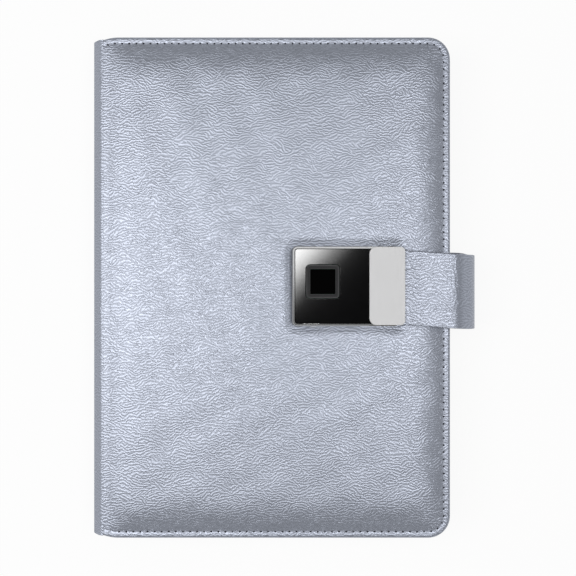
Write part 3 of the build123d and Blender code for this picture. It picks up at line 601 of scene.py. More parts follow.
def sheen_painted_thread_material():
    """Twisted polyester thread in the leather's colour, lightened by half as painted sheen for the pearl
    gloss it lacks.
    """
    # Painted sheen: the leather's colour lightened by half, in place of the pearl coat's gloss
    colour = shade(tuple(bpy.context.scene.notebook_leather.colour), 1.5)
    material, tree, shader = new_material("sewing_thread_painted_sheen", colour, 0.5)
    place = place_in_mm(tree, turn=(0, 0, radians(32)))
    waves = {"Vector": place, "Scale": 1.6, "Distortion": 1.0, "Detail": 1.0}
    twist = add_node(tree, "ShaderNodeTexWave", waves).outputs["Fac"]
    tone = ramp(tree, twist, 0.2, 0.8, shade(colour, 0.82), colour)
    wire(tree, shader, {"Base Color": tone, "Sheen Weight": 0.3})
    bump(tree, twist, shader, 0.08 * MM, 0.6)
    return material


def page_material():
    """Cream writing paper with faint ruled lines."""
    sizes = bpy.context.scene.notebook_pages
    colour = tuple(sizes.colour)
    material, tree, shader = new_material("page_paper", colour, 0.85)
    place = place_in_mm(tree)
    fibres = noise(tree, place, 1.4, 4.0, 0.6)["Fac"]
    within = calc(tree, "PINGPONG", separate(tree, place)["Y"], sizes.ruling / MM / 2)
    inked = add_node(tree, "ShaderNodeMix", data_type="RGBA")
    wire(tree, inked, {
        "Factor": calc(tree, "LESS_THAN", within, 0.09),
        6: ramp(tree, fibres, 0.3, 0.7, shade(colour, 0.97), shade(colour, 1.03)),
        7: (*shade(colour, 0.72), 1),
    })
    wire(tree, shader, {"Base Color": inked.outputs[2]})
    bump(tree, fibres, shader, 0.03 * MM, 0.4)
    return material


def toned(name, roughness, texture, limits, low_colour, high_colour, depth=0, strength=1.0, stretch=EVEN):
    """A finish whose colour follows a noise, and its height too where it has a depth in mm.

    Texture holds the noise's scale, and its detail and roughness where they aren't the plain ones."""
    material, tree, shader = new_material(name, low_colour, roughness)
    grain = noise(tree, place_in_mm(tree, stretch), *texture)["Fac"]
    wire(tree, shader, {"Base Color": ramp(tree, grain, *limits, low_colour, high_colour)})
    if depth:
        bump(tree, grain, shader, depth * MM, strength)
    return material, tree, shader, grain


def hole_shade_material():
    """Painted shade: a near-black finish standing for the shadow inside a needle hole."""
    dark = (0.012, 0.013, 0.018)
    return toned("needle_hole_shade", 0.9, (3.0,), (0.3, 0.7), dark, (0.03, 0.032, 0.045))[0]


def page_edge_material():
    """The cut edges of many thin sheets."""
    colour = tuple(bpy.context.scene.notebook_pages.colour)
    sheets = (1.0, 2.0, 0.7)
    return toned(
        "page_edges", 0.9, sheets, (0.35, 0.65), shade(colour, 0.72), shade(colour, 1.02),
        depth=0.06, strength=0.6, stretch=(0.012, 0.012, 9),
    )[0]


def foam_material():
    pores = (2.5, 3.0, 0.7)
    return toned("foam", 0.95, pores, (0.35, 0.65), (0.70, 0.70, 0.68), (0.86, 0.86, 0.84), depth=0.2)[0]


def gloss_material():
    """Polished black panel."""
    dark = (0.0015, 0.0015, 0.002)
    material, tree, shader, _ = toned(
        "polished_panel", 0.065, (0.3, 1.0), (0.3, 0.7), dark, (0.003, 0.003, 0.0035)
    )
    wire(tree, shader, {"IOR": 1.28})
    return material


def speckled(name, colour, roughness, metallic, scale, contrast, depth=0, stretch=EVEN, ior=1.5):
    """A finish with a fine grain, drawn out along the axes where stretch is small."""
    material, tree, shader, grain = toned(
        name, roughness, (scale, 3.0, 0.6), (0.3, 0.7), shade(colour, 1 - contrast),
        shade(colour, 1 + contrast), depth, 0.5, stretch,
    )
    rough = remap(tree, grain, 0.3, 0.7, roughness * 0.85, min(1.0, roughness * 1.2))
    wire(tree, shader, {"Metallic": metallic, "IOR": ior, "Roughness": rough})
    return material


def hardware_materials():
    """Finishes of the CAD nodes that stay, by material slot.

    A row gives colour, roughness, metal, grain per mm, contrast, depth in mm, stretch and IOR."""
    rows = (
        ("grey_board", (0.40, 0.38, 0.34), 0.9, 0.0, 1.5, 0.2, 0.05),
        ("nickel_steel", (0.66, 0.66, 0.65), 0.24, 1.0, 1.2, 0.04, 0, ALONG_Y),
        ("bright_chrome", (0.80, 0.81, 0.82), 0.12, 1.0, 0.8, 0.02),
        ("black_housing", (0.03, 0.03, 0.034), 0.5, 0.0, 4.0, 0.15, 0.02),
        ("bezel_grey", (0.14, 0.14, 0.145), 0.30, 0.6, 6.0, 0.06, 0.005),
        ("sensor_black", (0.002, 0.002, 0.002), 0.22, 0.0, 5.0, 0.1, 0.002, EVEN, 1.15),
        ("board_green", (0.02, 0.14, 0.07), 0.45, 0.0, 0.9, 0.3, 0.02),
        ("battery_foil", (0.55, 0.56, 0.57), 0.35, 0.9, 0.7, 0.06, 0.03),
        ("socket_steel", (0.62, 0.62, 0.62), 0.25, 1.0, 2.0, 0.05, 0, ALONG_X),
        ("motor_can", (0.6, 0.6, 0.59), 0.3, 1.0, 2.0, 0.05, 0, ALONG_X),
        ("pinion_brass", (0.72, 0.52, 0.24), 0.28, 1.0, 2.0, 0.06),
        ("bolt_steel", (0.55, 0.55, 0.55), 0.32, 1.0, 2.0, 0.06, 0, ALONG_Y),
        ("plate_steel", (0.62, 0.62, 0.62), 0.33, 1.0, 3.0, 0.06, 0, ALONG_X),
        ("screw_steel", (0.56, 0.56, 0.56), 0.28, 1.0, 2.0, 0.05),
        ("gasket_foam", (0.05, 0.05, 0.05), 0.9, 0.0, 3.0, 0.2, 0.05),
        ("spring_steel", (0.52, 0.55, 0.58), 0.28, 1.0, 2.5, 0.05, 0, (0.03, 1, 1)),
    )
    return {row[0]: speckled(*row) for row in rows}


def cap_material():
    """Satin silver with a faint lengthwise brushing."""
    colour = tuple(bpy.context.scene.notebook_lock.cap_colour)
    return speckled("satin_silver", colour, 0.45, 0.2, 2.5, 0.012, 0, ALONG_Y)


finishes = {}


def find_material(maker):
    """What the maker returns, made once."""
    if maker not in finishes:
        finishes[maker] = maker()
    return finishes[maker]


def dress(piece, material, node=None, body=None):
    """Gives the piece its material and, where named, the node it stands for and its body."""
    piece.data.materials.clear()
    piece.data.materials.append(material)
    if node:
        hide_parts(node)
    if body:
        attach(piece, body)
    return piece


# Places along a cover's edges

def stitch_path(inset):
    """The stitch line in the XY plane: from the spine along the top, down the fore-edge and back."""
    top = half_length - inset
    side = edge_x - inset
    return [
        straight((seam_start, top), (corner_x, top)),
        arc((corner_x, corner_y), corner_radius - inset, 90, 0),
        straight((side, corner_y), (side, -corner_y)),
        arc((corner_x, -corner_y), corner_radius - inset, 0, -90),
        straight((corner_x, -top), (seam_start, -top)),
    ]


def beyond_corner(x, y):
    """How far points lie beyond the centre of the nearer round corner, along X and along Y."""
    return x - corner_x, np.abs(y) - corner_y


def edge_distance(x, y):
    """Distance of points from the cover's edge, the spine's side left out."""
    beyond_x, beyond_y = beyond_corner(x, y)
    flat = corner_radius - np.maximum(beyond_x, beyond_y)
    in_corner = (beyond_x > 0) & (beyond_y > 0)
    return np.where(in_corner, corner_radius - np.hypot(beyond_x, beyond_y), flat)


def edge_travel(x, y, inset):
    """How far along the stitch line the nearest point of it lies."""
    top, quarter, side = (run_length(run) for run in stitch_path(inset)[:3])
    beyond_x, beyond_y = beyond_corner(x, y)
    turn = np.arctan2(np.maximum(beyond_y, 0), np.maximum(beyond_x, 1e-9))
    upper = np.where(beyond_x > 0, top + (pi / 2 - turn) * (corner_radius - inset), x - seam_start)
    on_side = (beyond_x > beyond_y) & (beyond_y <= 0)
    upper = np.where(on_side, top + quarter + corner_y - np.abs(y), upper)
    return np.where(y >= 0, upper, 2 * top + 2 * quarter + side - upper)


def hump(distance, width):
    """1 in the middle, and less with the distance from it."""
    return np.exp(-((distance / width) ** 2))


def padding_height(x, y, border, slope):
    """Height of the padded crown above the border."""
    def eased(distance):
        return 1 - (1 - np.clip(distance / slope, 0, 1)) ** 2.5
    ends = eased(half_length - np.abs(y) - border)
    fore_edge = eased(edge_x - x - border)
    return crown_rise * ends * fore_edge * eased(x - crown_start)


def swell(x, y):
    """Slight unevenness of the padding, as shares of 1."""
    return (
        0.5 * np.sin(x * 152 + 1.3 + 1.5 * np.sin(y * 61)) * np.sin(y * 118 + 0.4)
        + 0.3 * np.sin(x * 301 + y * 97 + 2.1)
        + 0.2 * np.sin(y * 338 - x * 173 + 0.7)
    )


def lock_dip(x, y):
    """How far the padding is drawn down round the lock."""
    beyond_x = np.maximum(np.maximum(rim_low[0] - x, x - lock_high[0]), 0)
    beyond_y = np.maximum(np.maximum(rim_low[1] - y, y - rim_high[1]), 0)
    return dip_depth * hump(np.hypot(beyond_x, beyond_y), dip_reach)


def spine_taper(x, y):
    """How far the cover's ends draw in where they meet the spine, in the direction of y."""
    share = np.clip(1 - (x - hinge_x) / taper_length, 0, 1)
    return (half_length - hinge_end_y) * share**2 * y / half_length


def round_corners(x, y):
    """Moves a square net of points into the cover's round corners."""
    beyond_x, beyond_y = beyond_corner(x, y)
    corner = (beyond_x > 0) & (beyond_y > 0)
    far = np.where(corner, np.maximum(beyond_x, beyond_y), 1)
    near = np.where(corner, np.minimum(beyond_x, beyond_y), 0)
    share = near / far * (pi / 4)
    turn = np.where(beyond_x >= beyond_y, share, pi / 2 - share)
    new_x = np.where(corner, corner_x + far * np.cos(turn), x)
    new_y = np.where(corner, (corner_y + far * np.sin(turn)) * np.sign(y), y)
    return new_x, new_y


def cover_skin(name, side):
    """The leather of one cover: outer face, rounded edge and the part turned in over the board."""
    sizes = bpy.context.scene.notebook_leather
    width = edge_x - edge_round - hinge_x
    length = 2 * (half_length - edge_round)
    skin = add_grid(name, int(round(width / sizes.cell)), int(round(length / sizes.cell)))
    flat = points_of(skin)
    x, y = round_corners(hinge_x + flat[:, 0] * width, (flat[:, 1] - 0.5) * length)
    place_points(skin, x, y, np.zeros(len(x)))
    turn_edges_in(skin)
    x, y, depth = points_of(skin).T
    if side == FRONT:
        on_top = (depth > -0.05 * MM) & (edge_distance(x, y) > edge_round * 0.9)
        raised = padding_height(x, y, sizes.padding_border, sizes.padding_slope)
        raised = raised * (1 + crown_unevenness * swell(x, y)) - lock_dip(x, y)
        depth = np.where(on_top, depth + raised, depth)
    outside = body_top if side == FRONT else 0.0
    place_points(skin, x, y, outside + side * depth)
    if side == BACK:
        flip_normals(skin)
    thicken(skin, sizes.thickness)
    x, y, z = points_of(skin).T
    depth = np.maximum((z - outside) * side, -cover_depth)
    place_points(skin, x, y, outside + side * depth)
    draw_in_stitches(skin, side, outside)
    x, y, z = points_of(skin).T
    place_points(skin, x, y - spine_taper(x, y), z)
    return skin


def turn_edges_in(skin):
    """Extrudes the outline over the rounded edge, down the side and in over the board."""
    small = 0.3 * MM
    steps = [
        (edge_round * (1 - sin(radians(turn))), -edge_round * (1 - cos(radians(turn))))
        for turn in (30, 60, 90)
    ]
    steps += [(0, -cover_depth + small), (0.3 * small, -cover_depth + 0.3 * small)]
    steps += [
        (inset, -cover_depth) for inset in (small, corner_radius - 4 * MM, corner_radius - 0.2 * MM, turn_in)
    ]
    points = points_of(skin)
    on_edge = np.abs(edge_distance(points[:, 0], points[:, 1]) - edge_round) < 0.01 * MM
    ends = rows_of(skin.data.edges, "vertices", 2, np.int32)
    outline = on_edge[ends].all(axis=1)
    choose(skin, "EDGE", skin.data.edges, outline)
    base = points[np.unique(ends[outline])]
    beyond_x, beyond_y = np.maximum(beyond_corner(base[:, 0], base[:, 1]), 0)
    reach = np.hypot(beyond_x, beyond_y)
    outward = np.column_stack((beyond_x / reach, beyond_y / reach * np.sign(base[:, 1]), 0 * reach))
    in_corner = (beyond_x > 0.01 * MM) & (beyond_y > 0.01 * MM)
    for inset, drop in steps:
        start_edit(skin)
        bpy.ops.mesh.extrude_edges_move()
        end_edit()
        new = [vertex.index for vertex in skin.data.vertices if vertex.select]
        ring = base + outward * (edge_round - inset)
        if inset > corner_radius:
            ring[in_corner, 0] = edge_x - inset
            ring[in_corner, 1] = (half_length - inset) * np.sign(base[in_corner, 1])
        ring[:, 2] = drop
        new_points = points_of(skin)
        new_points[new] = ring
        place_points(skin, *new_points.T)
    start_edit(skin, "SELECT")
    bpy.ops.mesh.remove_doubles(threshold=0.02 * MM)
    bpy.ops.mesh.normals_make_consistent(inside=False)
    end_edit()
    if skin.data.polygons[0].normal.z < 0:
        flip_normals(skin)


def draw_in_stitches(skin, side, outside):
    """Divides the outer border finely and draws it down along the stitch line."""
    stitching = bpy.context.scene.notebook_stitching
    groove_width, border_width, border_rise = 0.75 * MM, 0.6 * MM, 0.05 * MM
    reach = stitching.inset + 1.8 * MM
    for _ in range(2):
        x, y, z = rows_of(skin.data.polygons, "center", 3).T
        outer = rows_of(skin.data.polygons, "normal", 3)[:, 2] * side > 0.5
        outer &= (z - outside) * side > -0.2 * MM
        choose(skin, "FACE", skin.data.polygons, outer & (edge_distance(x, y) < reach))
        start_edit(skin)
        bpy.ops.mesh.subdivide(number_cuts=1)
        end_edit()
    x, y, z = points_of(skin).T
    distance = edge_distance(x, y)
    travel = edge_travel(x, y, stitching.inset)
    phase = 1 - np.abs(((travel / stitching.pitch) % 1) - 0.5) * 2
    line = hump(distance - stitching.inset, groove_width)
    border = hump(distance - stitching.inset * 0.52, border_width)
    sink = stitching.groove * line * (0.45 + 0.55 * phase**4) - border_rise * border * (1 - phase)
    on_top = ((z - outside) * side > -0.02 * MM) & (distance < reach + 1 * MM)
    lowered = z - side * sink
    if side == BACK:
        lowered = np.maximum(lowered, 0)
    place_points(skin, x, y, np.where(on_top, lowered, z))


def stitch_shape():
    """One stitch along X, its ends turned down into the needle holes."""
    stitching = bpy.context.scene.notebook_stitching
    length = stitching.pitch * 0.84
    bpy.ops.mesh.primitive_cylinder_add(
        vertices=6, radius=stitching.thread / 2, depth=length, end_fill_type="NGON", rotation=(0, pi / 2, 0)
    )
    stitch = settle(added("stitch"))
    first, second = edge_ends(stitch)
    choose(stitch, "EDGE", stitch.data.edges, np.abs(first - second)[:, 0] > 0.5 * stitching.pitch)
    start_edit(stitch)
    bpy.ops.mesh.subdivide(number_cuts=4)
    end_edit()
    x, y, z = points_of(stitch).T
    share = np.abs(x) / (length / 2)
    narrow = 1 - 0.35 * share**3
    place_points(stitch, x, y * narrow, z * narrow - 0.75 * stitching.thread * share**3)
    return stitch


def hole_shade_disc():
    """One needle hole's painted shade: a disc with its middle sunk in."""
    hole = bpy.context.scene.notebook_stitching.hole
    bpy.ops.mesh.primitive_circle_add(vertices=10, radius=hole / 2, fill_type="NGON")
    disc = added("hole")
    start_edit(disc, "SELECT")
    bpy.ops.mesh.inset(thickness=hole * 0.18, depth=0)
    bpy.ops.transform.translate(value=(0, 0, -0.06 * MM))
    end_edit()
    return disc


def edge_row(name, model, first, level, side):
    """A row of the model round a cover's free edges, first pitches from the spine, facing up or down."""
    stitching = bpy.context.scene.notebook_stitching
    path = stitch_path(stitching.inset)
    ends = np.cumsum([0] + [run_length(run) for run in path])
    travel = np.arange(first, int(ends[-1] / stitching.pitch) - 1) * stitching.pitch
    turns = np.interp(travel, ends, np.array((0, 0, -1, -1, -2, -2)) * pi / 2)
    copies = []
    for (x, y), turn in zip(along(path, travel / ends[-1]), turns):
        made = duplicate(model)
        made.rotation_euler = (0, 0, turn)
        if side == DOWN:
            turned = Matrix.Rotation(turn, 4, "Z") @ Matrix.Rotation(pi, 4, "X")
            made.rotation_euler = turned.to_euler()
        made.location = (x, y - spine_taper(x, y), level)
        copies.append(made)
    bpy.data.objects.remove(model, do_unlink=True)
    return settle(joined(name, copies))


def stitch_row(name, level, side, body):
    row = edge_row(name, stitch_shape(), 1, level, side)
    smooth(row, 60)
    return dress(row, find_material(sheen_painted_thread_material), body=body)


# A row of dark discs round a cover's edge, painted shade for the needle holes
def hole_shade_row(name, level, side, body):
    row = edge_row(name, hole_shade_disc(), 0.5, level, side)
    thicken(row, 0.05 * MM)
    return dress(row, find_material(hole_shade_material), body=body)


def finish_cover(skin, low, high, corner, node, foam_node, body):
    """Cuts the opening from low to high, and dresses the leather and the foam under it."""
    cut_out(skin, rounded_block("opening", low, high, corner))
    smooth(skin, 60)
    dress(skin, find_material(leather_material), node)
    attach(skin, body)
    foam = softened(foam_node, 0.25 * MM)
    dress(foam, find_material(foam_material), foam_node, body)


class NOTEBOOK_OT_front_cover(Operator):
    """Make the padded leather of the front cover, with its opening for the lock"""

    bl_idname = "notebook.front_cover"
    bl_label = "Front cover"

    def execute(self, context):
        gap = 0.3 * MM
        finish_cover(
            cover_skin("front_cover_leather", FRONT),
            (rim_low[0] - gap, rim_low[1] - gap, body_top - 3 * MM),
            (lock_high[0] + gap, rim_high[1] + gap, body_top + 6 * MM),
            corner=2.3 * MM, node="front_leather", foam_node="front_foam", body="front_cover",
        )
        return {"FINISHED"}


class NOTEBOOK_OT_back_cover(Operator):
    """Make the leather of the back cover, with the slot for the strap's tail"""

    bl_idname = "notebook.back_cover"
    bl_label = "Back cover"

    def execute(self, context):
        gap = 0.15 * MM
        finish_cover(
            cover_skin("back_cover_leather", BACK),
            (edge_x - 3 * MM, strap_low[1] - gap, strap_low[2] - gap),
            (edge_x + 3 * MM, strap_high[1] + gap, strap_low[2] + leather_thickness + gap),
            corner=0.3 * MM, node="back_leather", foam_node="back_foam", body="back_cover",
        )
        return {"FINISHED"}


def hinge_bend(name, node, side, under, thickness, material, trim=None):
    """A layer of one hinge, that far under the leather's face, bent from the spine to a cover."""
    low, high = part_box(node)
    bend = high[0] - low[0]
    level = low[2] if side == FRONT else high[2]
    path = bend_path(low[0] - under, bend + under, level, under, side)
    piece = bent_sheet(name, path, low[1], high[1], thickness, bend_cell, trim=trim)
    dress(piece, material, node)
    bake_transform(piece)
    return piece


class NOTEBOOK_OT_spine(Operator):
    """Make the leather round the spine and the two bends that hinge the covers"""

    bl_idname = "notebook.spine"
    bl_label = "Spine and hinges"

    def execute(self, context):
        leather = find_material(leather_material)
        (left, low_y, low_z), (_, high_y, high_z) = spine_low, spine_high
        spine = bent_sheet(
            "spine_cover_leather", [straight((left, low_z), (left, high_z))], low_y, high_y,
            leather_thickness, context.scene.notebook_leather.cell, trim=lambda share: end_trim,
        )
        dress(spine, leather, "spine_leather", "spine")
        front = hinge_bend(
            "front_hinge_bend", "front_hinge_leather", FRONT, 0, leather_thickness, leather,
            lambda share: end_trim * (1 - share) ** 2,
        )
        back = hinge_bend(
            "back_hinge_bend", "back_hinge_leather", BACK, 0, leather_thickness, leather,
            lambda share: end_trim * share**2,
        )
        return {"FINISHED"}


class NOTEBOOK_OT_linings(Operator):
    """Make the linings inside the covers, the spine and the hinges"""

    bl_idname = "notebook.linings"
    bl_label = "Linings"

    def execute(self, context):
        material = find_material(lining_material)
        bends = [
            hinge_bend(name, node, side, leather_thickness, lining_thickness, material)
            for name, node, side in (
                ("front_hinge_lining_bend", "front_hinge_lining", FRONT),
                ("back_hinge_lining_bend", "back_hinge_lining", BACK),
            )
        ]
        for node, body, board, parts in (
            ("front_lining", "front_cover", "front_board", []),
            ("back_lining", "back_cover", "back_board", []),
            ("spine_lining", "spine", "spine_board", bends),
        ):
            sheet = softened(node, 0.2 * MM)
            dress(sheet, material, node)
            low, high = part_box(node)
            _, width, length = sorted(high[axis] - low[axis] for axis in range(3))
            area = width * length
            if node == "front_lining":
                area -= (lock_high[0] - lock_low[0]) * (lock_high[1] - lock_low[1])
            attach(sheet, body)
        return {"FINISHED"}


class NOTEBOOK_OT_stitching(Operator):
    """Sew the covers' free edges, outside and inside"""

    bl_idname = "notebook.stitching"
    bl_label = "Stitching"

    def execute(self, context):
        thread = context.scene.notebook_stitching.thread
        seat = thread * 0.28
        stitch_row("front_stitches", body_top - seat, UP, "front_cover")
        stitch_row("front_inner_stitches", cover_low[2] + seat, DOWN, "front_cover")
        stitch_row("back_stitches", thread * 0.55, DOWN, "back_cover")
        stitch_row("back_inner_stitches", back_high[2] - seat, UP, "back_cover")
        # Dark discs as painted shade in the needle holes, front and back
        hole_shade_row("front_needle_holes", body_top - 0.06 * MM, UP, "front_cover")
        hole_shade_row("back_needle_holes", 0.05 * MM, DOWN, "back_cover")
        return {"FINISHED"}


def strap_path(inset, start_x, end_x):
    """Outer face of one of the strap's layers in the XZ plane, from the lock round the fore-edge."""
    bow_x = strap_high[0] - strap_radius
    top = strap_high[2] - strap_radius
    low = strap_low[2] + strap_radius
    radius = strap_radius - inset
    return [
        straight((start_x, top + radius), (bow_x, top + radius)),
        arc((bow_x, top), radius, 90, 0),
        straight((bow_x + radius, top), (bow_x + radius, low)),
        arc((bow_x, low), radius, 0, -90),
        straight((bow_x, low - radius), (end_x, low - radius)),
    ]


def strap_end_x(node, side):
    """Where a layer of the strap begins in the lock's mouth, or ends at the back cover."""
    points = points_of(frame["nodes"][node])
    return points[side * points[:, 2] > side * middle_z, 0].min()


def strap_sway(x, z):
    """The strap lies slightly askew: it strays along the pages where it rounds the fore-edge."""
    start = strap_end_x("strap_leather", FRONT)
    leaving = np.sin(np.clip((x - start) / (strap_high[0] - start), 0, 1) ** 1.3 * pi / 2)
    coming = np.cos(np.clip((middle_z - z) / (middle_z - strap_low[2]), 0, 1) * pi / 2) ** 2
    return -strap_skew * leaving * coming


def strap_layer(name, node, inset, thickness, cell, rounding, material):
    """A leather layer of the strap, that far inside its outer face."""
    path = strap_path(inset, strap_end_x("strap_leather", FRONT), strap_end_x(node, BACK))
    layer = bent_sheet(name, path, strap_low[1], strap_high[1], thickness, cell, rounding, strap_sway)
    dress(layer, material, node)
    return layer


def wrinkle_strap(strap):
    """Presses crescent folds into the strap before its bend and a fan of folds beside the lock."""
    fold_length, fold_reach = 1.8 * MM, 4 * MM
    fan_width, fan_reach = 2.6 * MM, 6 * MM
    x, y, z = points_of(strap).T
    middle = (strap_low[1] + strap_high[1]) / 2
    share = np.clip(np.abs(y - middle) / (strap_high[1] - middle), 0, 1)
    crescent = x - (strap_high[0] - strap_radius) + fold_reach * share**2
    waves = crescent / fold_length * tau + 2.0 * np.sin(y * 310) + 1.3 * np.sin(y * 730 + 1)
    folds = np.sin(waves) * hump(crescent, fold_reach)
    away = x - strap_end_x("strap_leather", FRONT)
    fan = np.sin((y - middle) / (fan_width + 0.12 * away) * tau * 0.8 + 1.2 * np.sin(x * 420))
    fan = fan * hump(away - fan_reach, fan_reach)
    sunk = wrinkle_depth * (folds + 1.2 * fan) + 0.2 * MM
    on_top = z > strap_high[2] - 2.6 * MM
    place_points(strap, x, y, z - np.where(on_top, sunk, 0))


class NOTEBOOK_OT_strap(Operator):
    """Make the strap: leather, spring steel with its tongue, and lining"""

    bl_idname = "notebook.strap"
    bl_label = "Strap"

    def execute(self, context):
        leather = strap_layer(
            "strap_cover_leather", "strap_leather", inset=0, thickness=leather_thickness, cell=bend_cell,
            rounding=0.35 * MM, material=find_material(leather_material),
        )
        wrinkle_strap(leather)
        lining = strap_layer(
            "strap_inner_lining", "strap_lining", inset=leather_thickness + strap_steel_thickness,
            thickness=strap_lining_thickness, cell=2 * bend_cell, rounding=0.2 * MM,
            material=find_material(lining_material),
        )
        core = softened("strap_core", 0.05 * MM, 1)
        core.name = "strap_steel"
        dress(core, find_material(hardware_materials)["spring_steel"], "strap_core")
        for piece in (leather, lining, core):
            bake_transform(piece)
        return {"FINISHED"}


def rounded_leaf(width, length, corner):
    """A leaf of height 1 from x 0, with rounded outer corners, cut into strips that can bend."""
    bpy.ops.mesh.primitive_plane_add(size=1, location=(width / 2, 0, 0))
    leaf = added("leaf")
    leaf.scale = (width, length, 1)
    settle(leaf)
    choose(leaf, "VERT", leaf.data.vertices, points_of(leaf)[:, 0] > width / 2)
    start_edit(leaf)
    bpy.ops.mesh.bevel(offset=corner, segments=6, affect="VERTICES")
    bpy.ops.mesh.select_all(action="SELECT")
    bpy.ops.mesh.extrude_region_move(TRANSFORM_OT_translate={"value": (0, 0, 1)})
    bpy.ops.mesh.select_all(action="SELECT")
    bpy.ops.mesh.normals_make_consistent(inside=False)
    for part in range(1, leaf_parts):
        bpy.ops.mesh.select_all(action="SELECT")
        bpy.ops.mesh.bisect(plane_co=(width * part / leaf_parts, 0, 0), plane_no=(1, 0, 0))
    end_edit()
    return leaf


def ring_rows():
    """Y places of the rings, from the half rings' own mesh."""
    rows = np.sort(points_of(frame["nodes"]["upper_half_rings"])[:, 1])
    groups = np.split(rows, np.where(np.diff(rows) > 5 * MM)[0] + 1)
    return [float((group[0] + group[-1]) / 2) for group in groups]


def page_block(name, node, side, body):
    """A block of leaves, drawn together at the rings and spread out between the covers."""
    sizes = bpy.context.scene.notebook_pages
    low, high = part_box(node)
    ring_reach = rings_high[2] - middle_z
    ring_x = rings_high[0] - ring_reach
    punch_radius = ring_reach - ring_wire + ring_play
    inner, outer = (low[2], high[2]) if side == FRONT else (high[2], low[2])
    split, outer = (inner - middle_z) * side, (outer - middle_z) * side
    at_rings = punch_radius - ring_play - ring_wire - leaf_gap
    leaf = rounded_leaf(page_width, high[1] - low[1], sizes.corner)
    cutters = []
    for row in ring_rows():
        bpy.ops.mesh.primitive_cylinder_add(
            vertices=14, radius=sizes.hole / 2, depth=4, location=(punch_x, row, 0)
        )
        cutters.append(added("punch"))
    cut_out(leaf, settle(joined("punches", cutters)))
    flat = points_of(leaf)
    leaves = []
    for index in range(sizes.leaves):
        share = (index + 0.5) / sizes.leaves
        across = share + (flat[:, 2] - 0.5) * leaf_share / sizes.leaves
        near = split + (at_rings - split) * across
        far = split + (outer - split) * across
        hole_place = ring_x + np.sqrt(np.maximum(punch_radius**2 - near**2, 0)) - punch_x
        x = flat[:, 0] + hole_place + sizes.straying * sin(index * 2.4) * 0.6
        y = flat[:, 1] + sizes.straying * cos(index * 1.7)
        spread = np.clip((x - ring_x - spread_start) / spread_length, 0, 1)
        height = near + (far - near) * spread * spread * (3 - 2 * spread)
        made = duplicate(leaf)
        place_points(made, x, y, middle_z + side * height)
        leaves.append(made)
    bpy.data.objects.remove(leaf, do_unlink=True)
    block = joined(name, leaves)
    if side == BACK:
        flip_normals(block)
    dress(block, find_material(page_material), node, body)
    block.data.materials.append(find_material(page_edge_material))
    upright = np.abs(rows_of(block.data.polygons, "normal", 3)[:, 2]) < 0.5
    block.data.polygons.foreach_set("material_index", upright.astype(np.int32))
    smooth(block, 30)


class NOTEBOOK_OT_pages(Operator):
    """Make the two blocks of punched leaves on the rings"""

    bl_idname = "notebook.pages"
    bl_label = "Pages"

    def execute(self, context):
        page_block("front_leaves", "pages_front", FRONT, "pages_front")
        page_block("back_leaves", "pages_back", BACK, "pages_back")
        return {"FINISHED"}


def slot_of(node):
    return next(part["material_slot"] for part in frame["record"]["subparts"] if part["node"] == node)


class NOTEBOOK_OT_lock(Operator):
    """Make the lock's glossy panel, sensor, bright rim and satin cap"""

    bl_idname = "notebook.lock"
    bl_label = "Lock"

    def execute(self, context):
        sizes = context.scene.notebook_lock
        made = find_material(hardware_materials)
        for node, width, material in (
            ("touch_panel", sizes.panel_edge, gloss_material()),
            ("silver_cap", sizes.cap_edge, cap_material()),
            ("chrome_rim", 0.35 * MM, made["bright_chrome"]),
            ("sensor_bezel", 0.3 * MM, made["bezel_grey"]),
            ("fingerprint_sensor", 0.08 * MM, made["sensor_black"]),
        ):
            dress(softened(node, width, 3, 30), material, node, "front_cover")
        return {"FINISHED"}


class NOTEBOOK_OT_hardware(Operator):
    """Finish the rings, boards and the inner pieces of the lock"""

    bl_idname = "notebook.hardware"
    bl_label = "Rings, boards and lock parts"

    def execute(self, context):
        made = find_material(hardware_materials)
        for name, node in frame["nodes"].items():
            if not node.hide_render:
                dress(node, made[slot_of(name)])
        return {"FINISHED"}


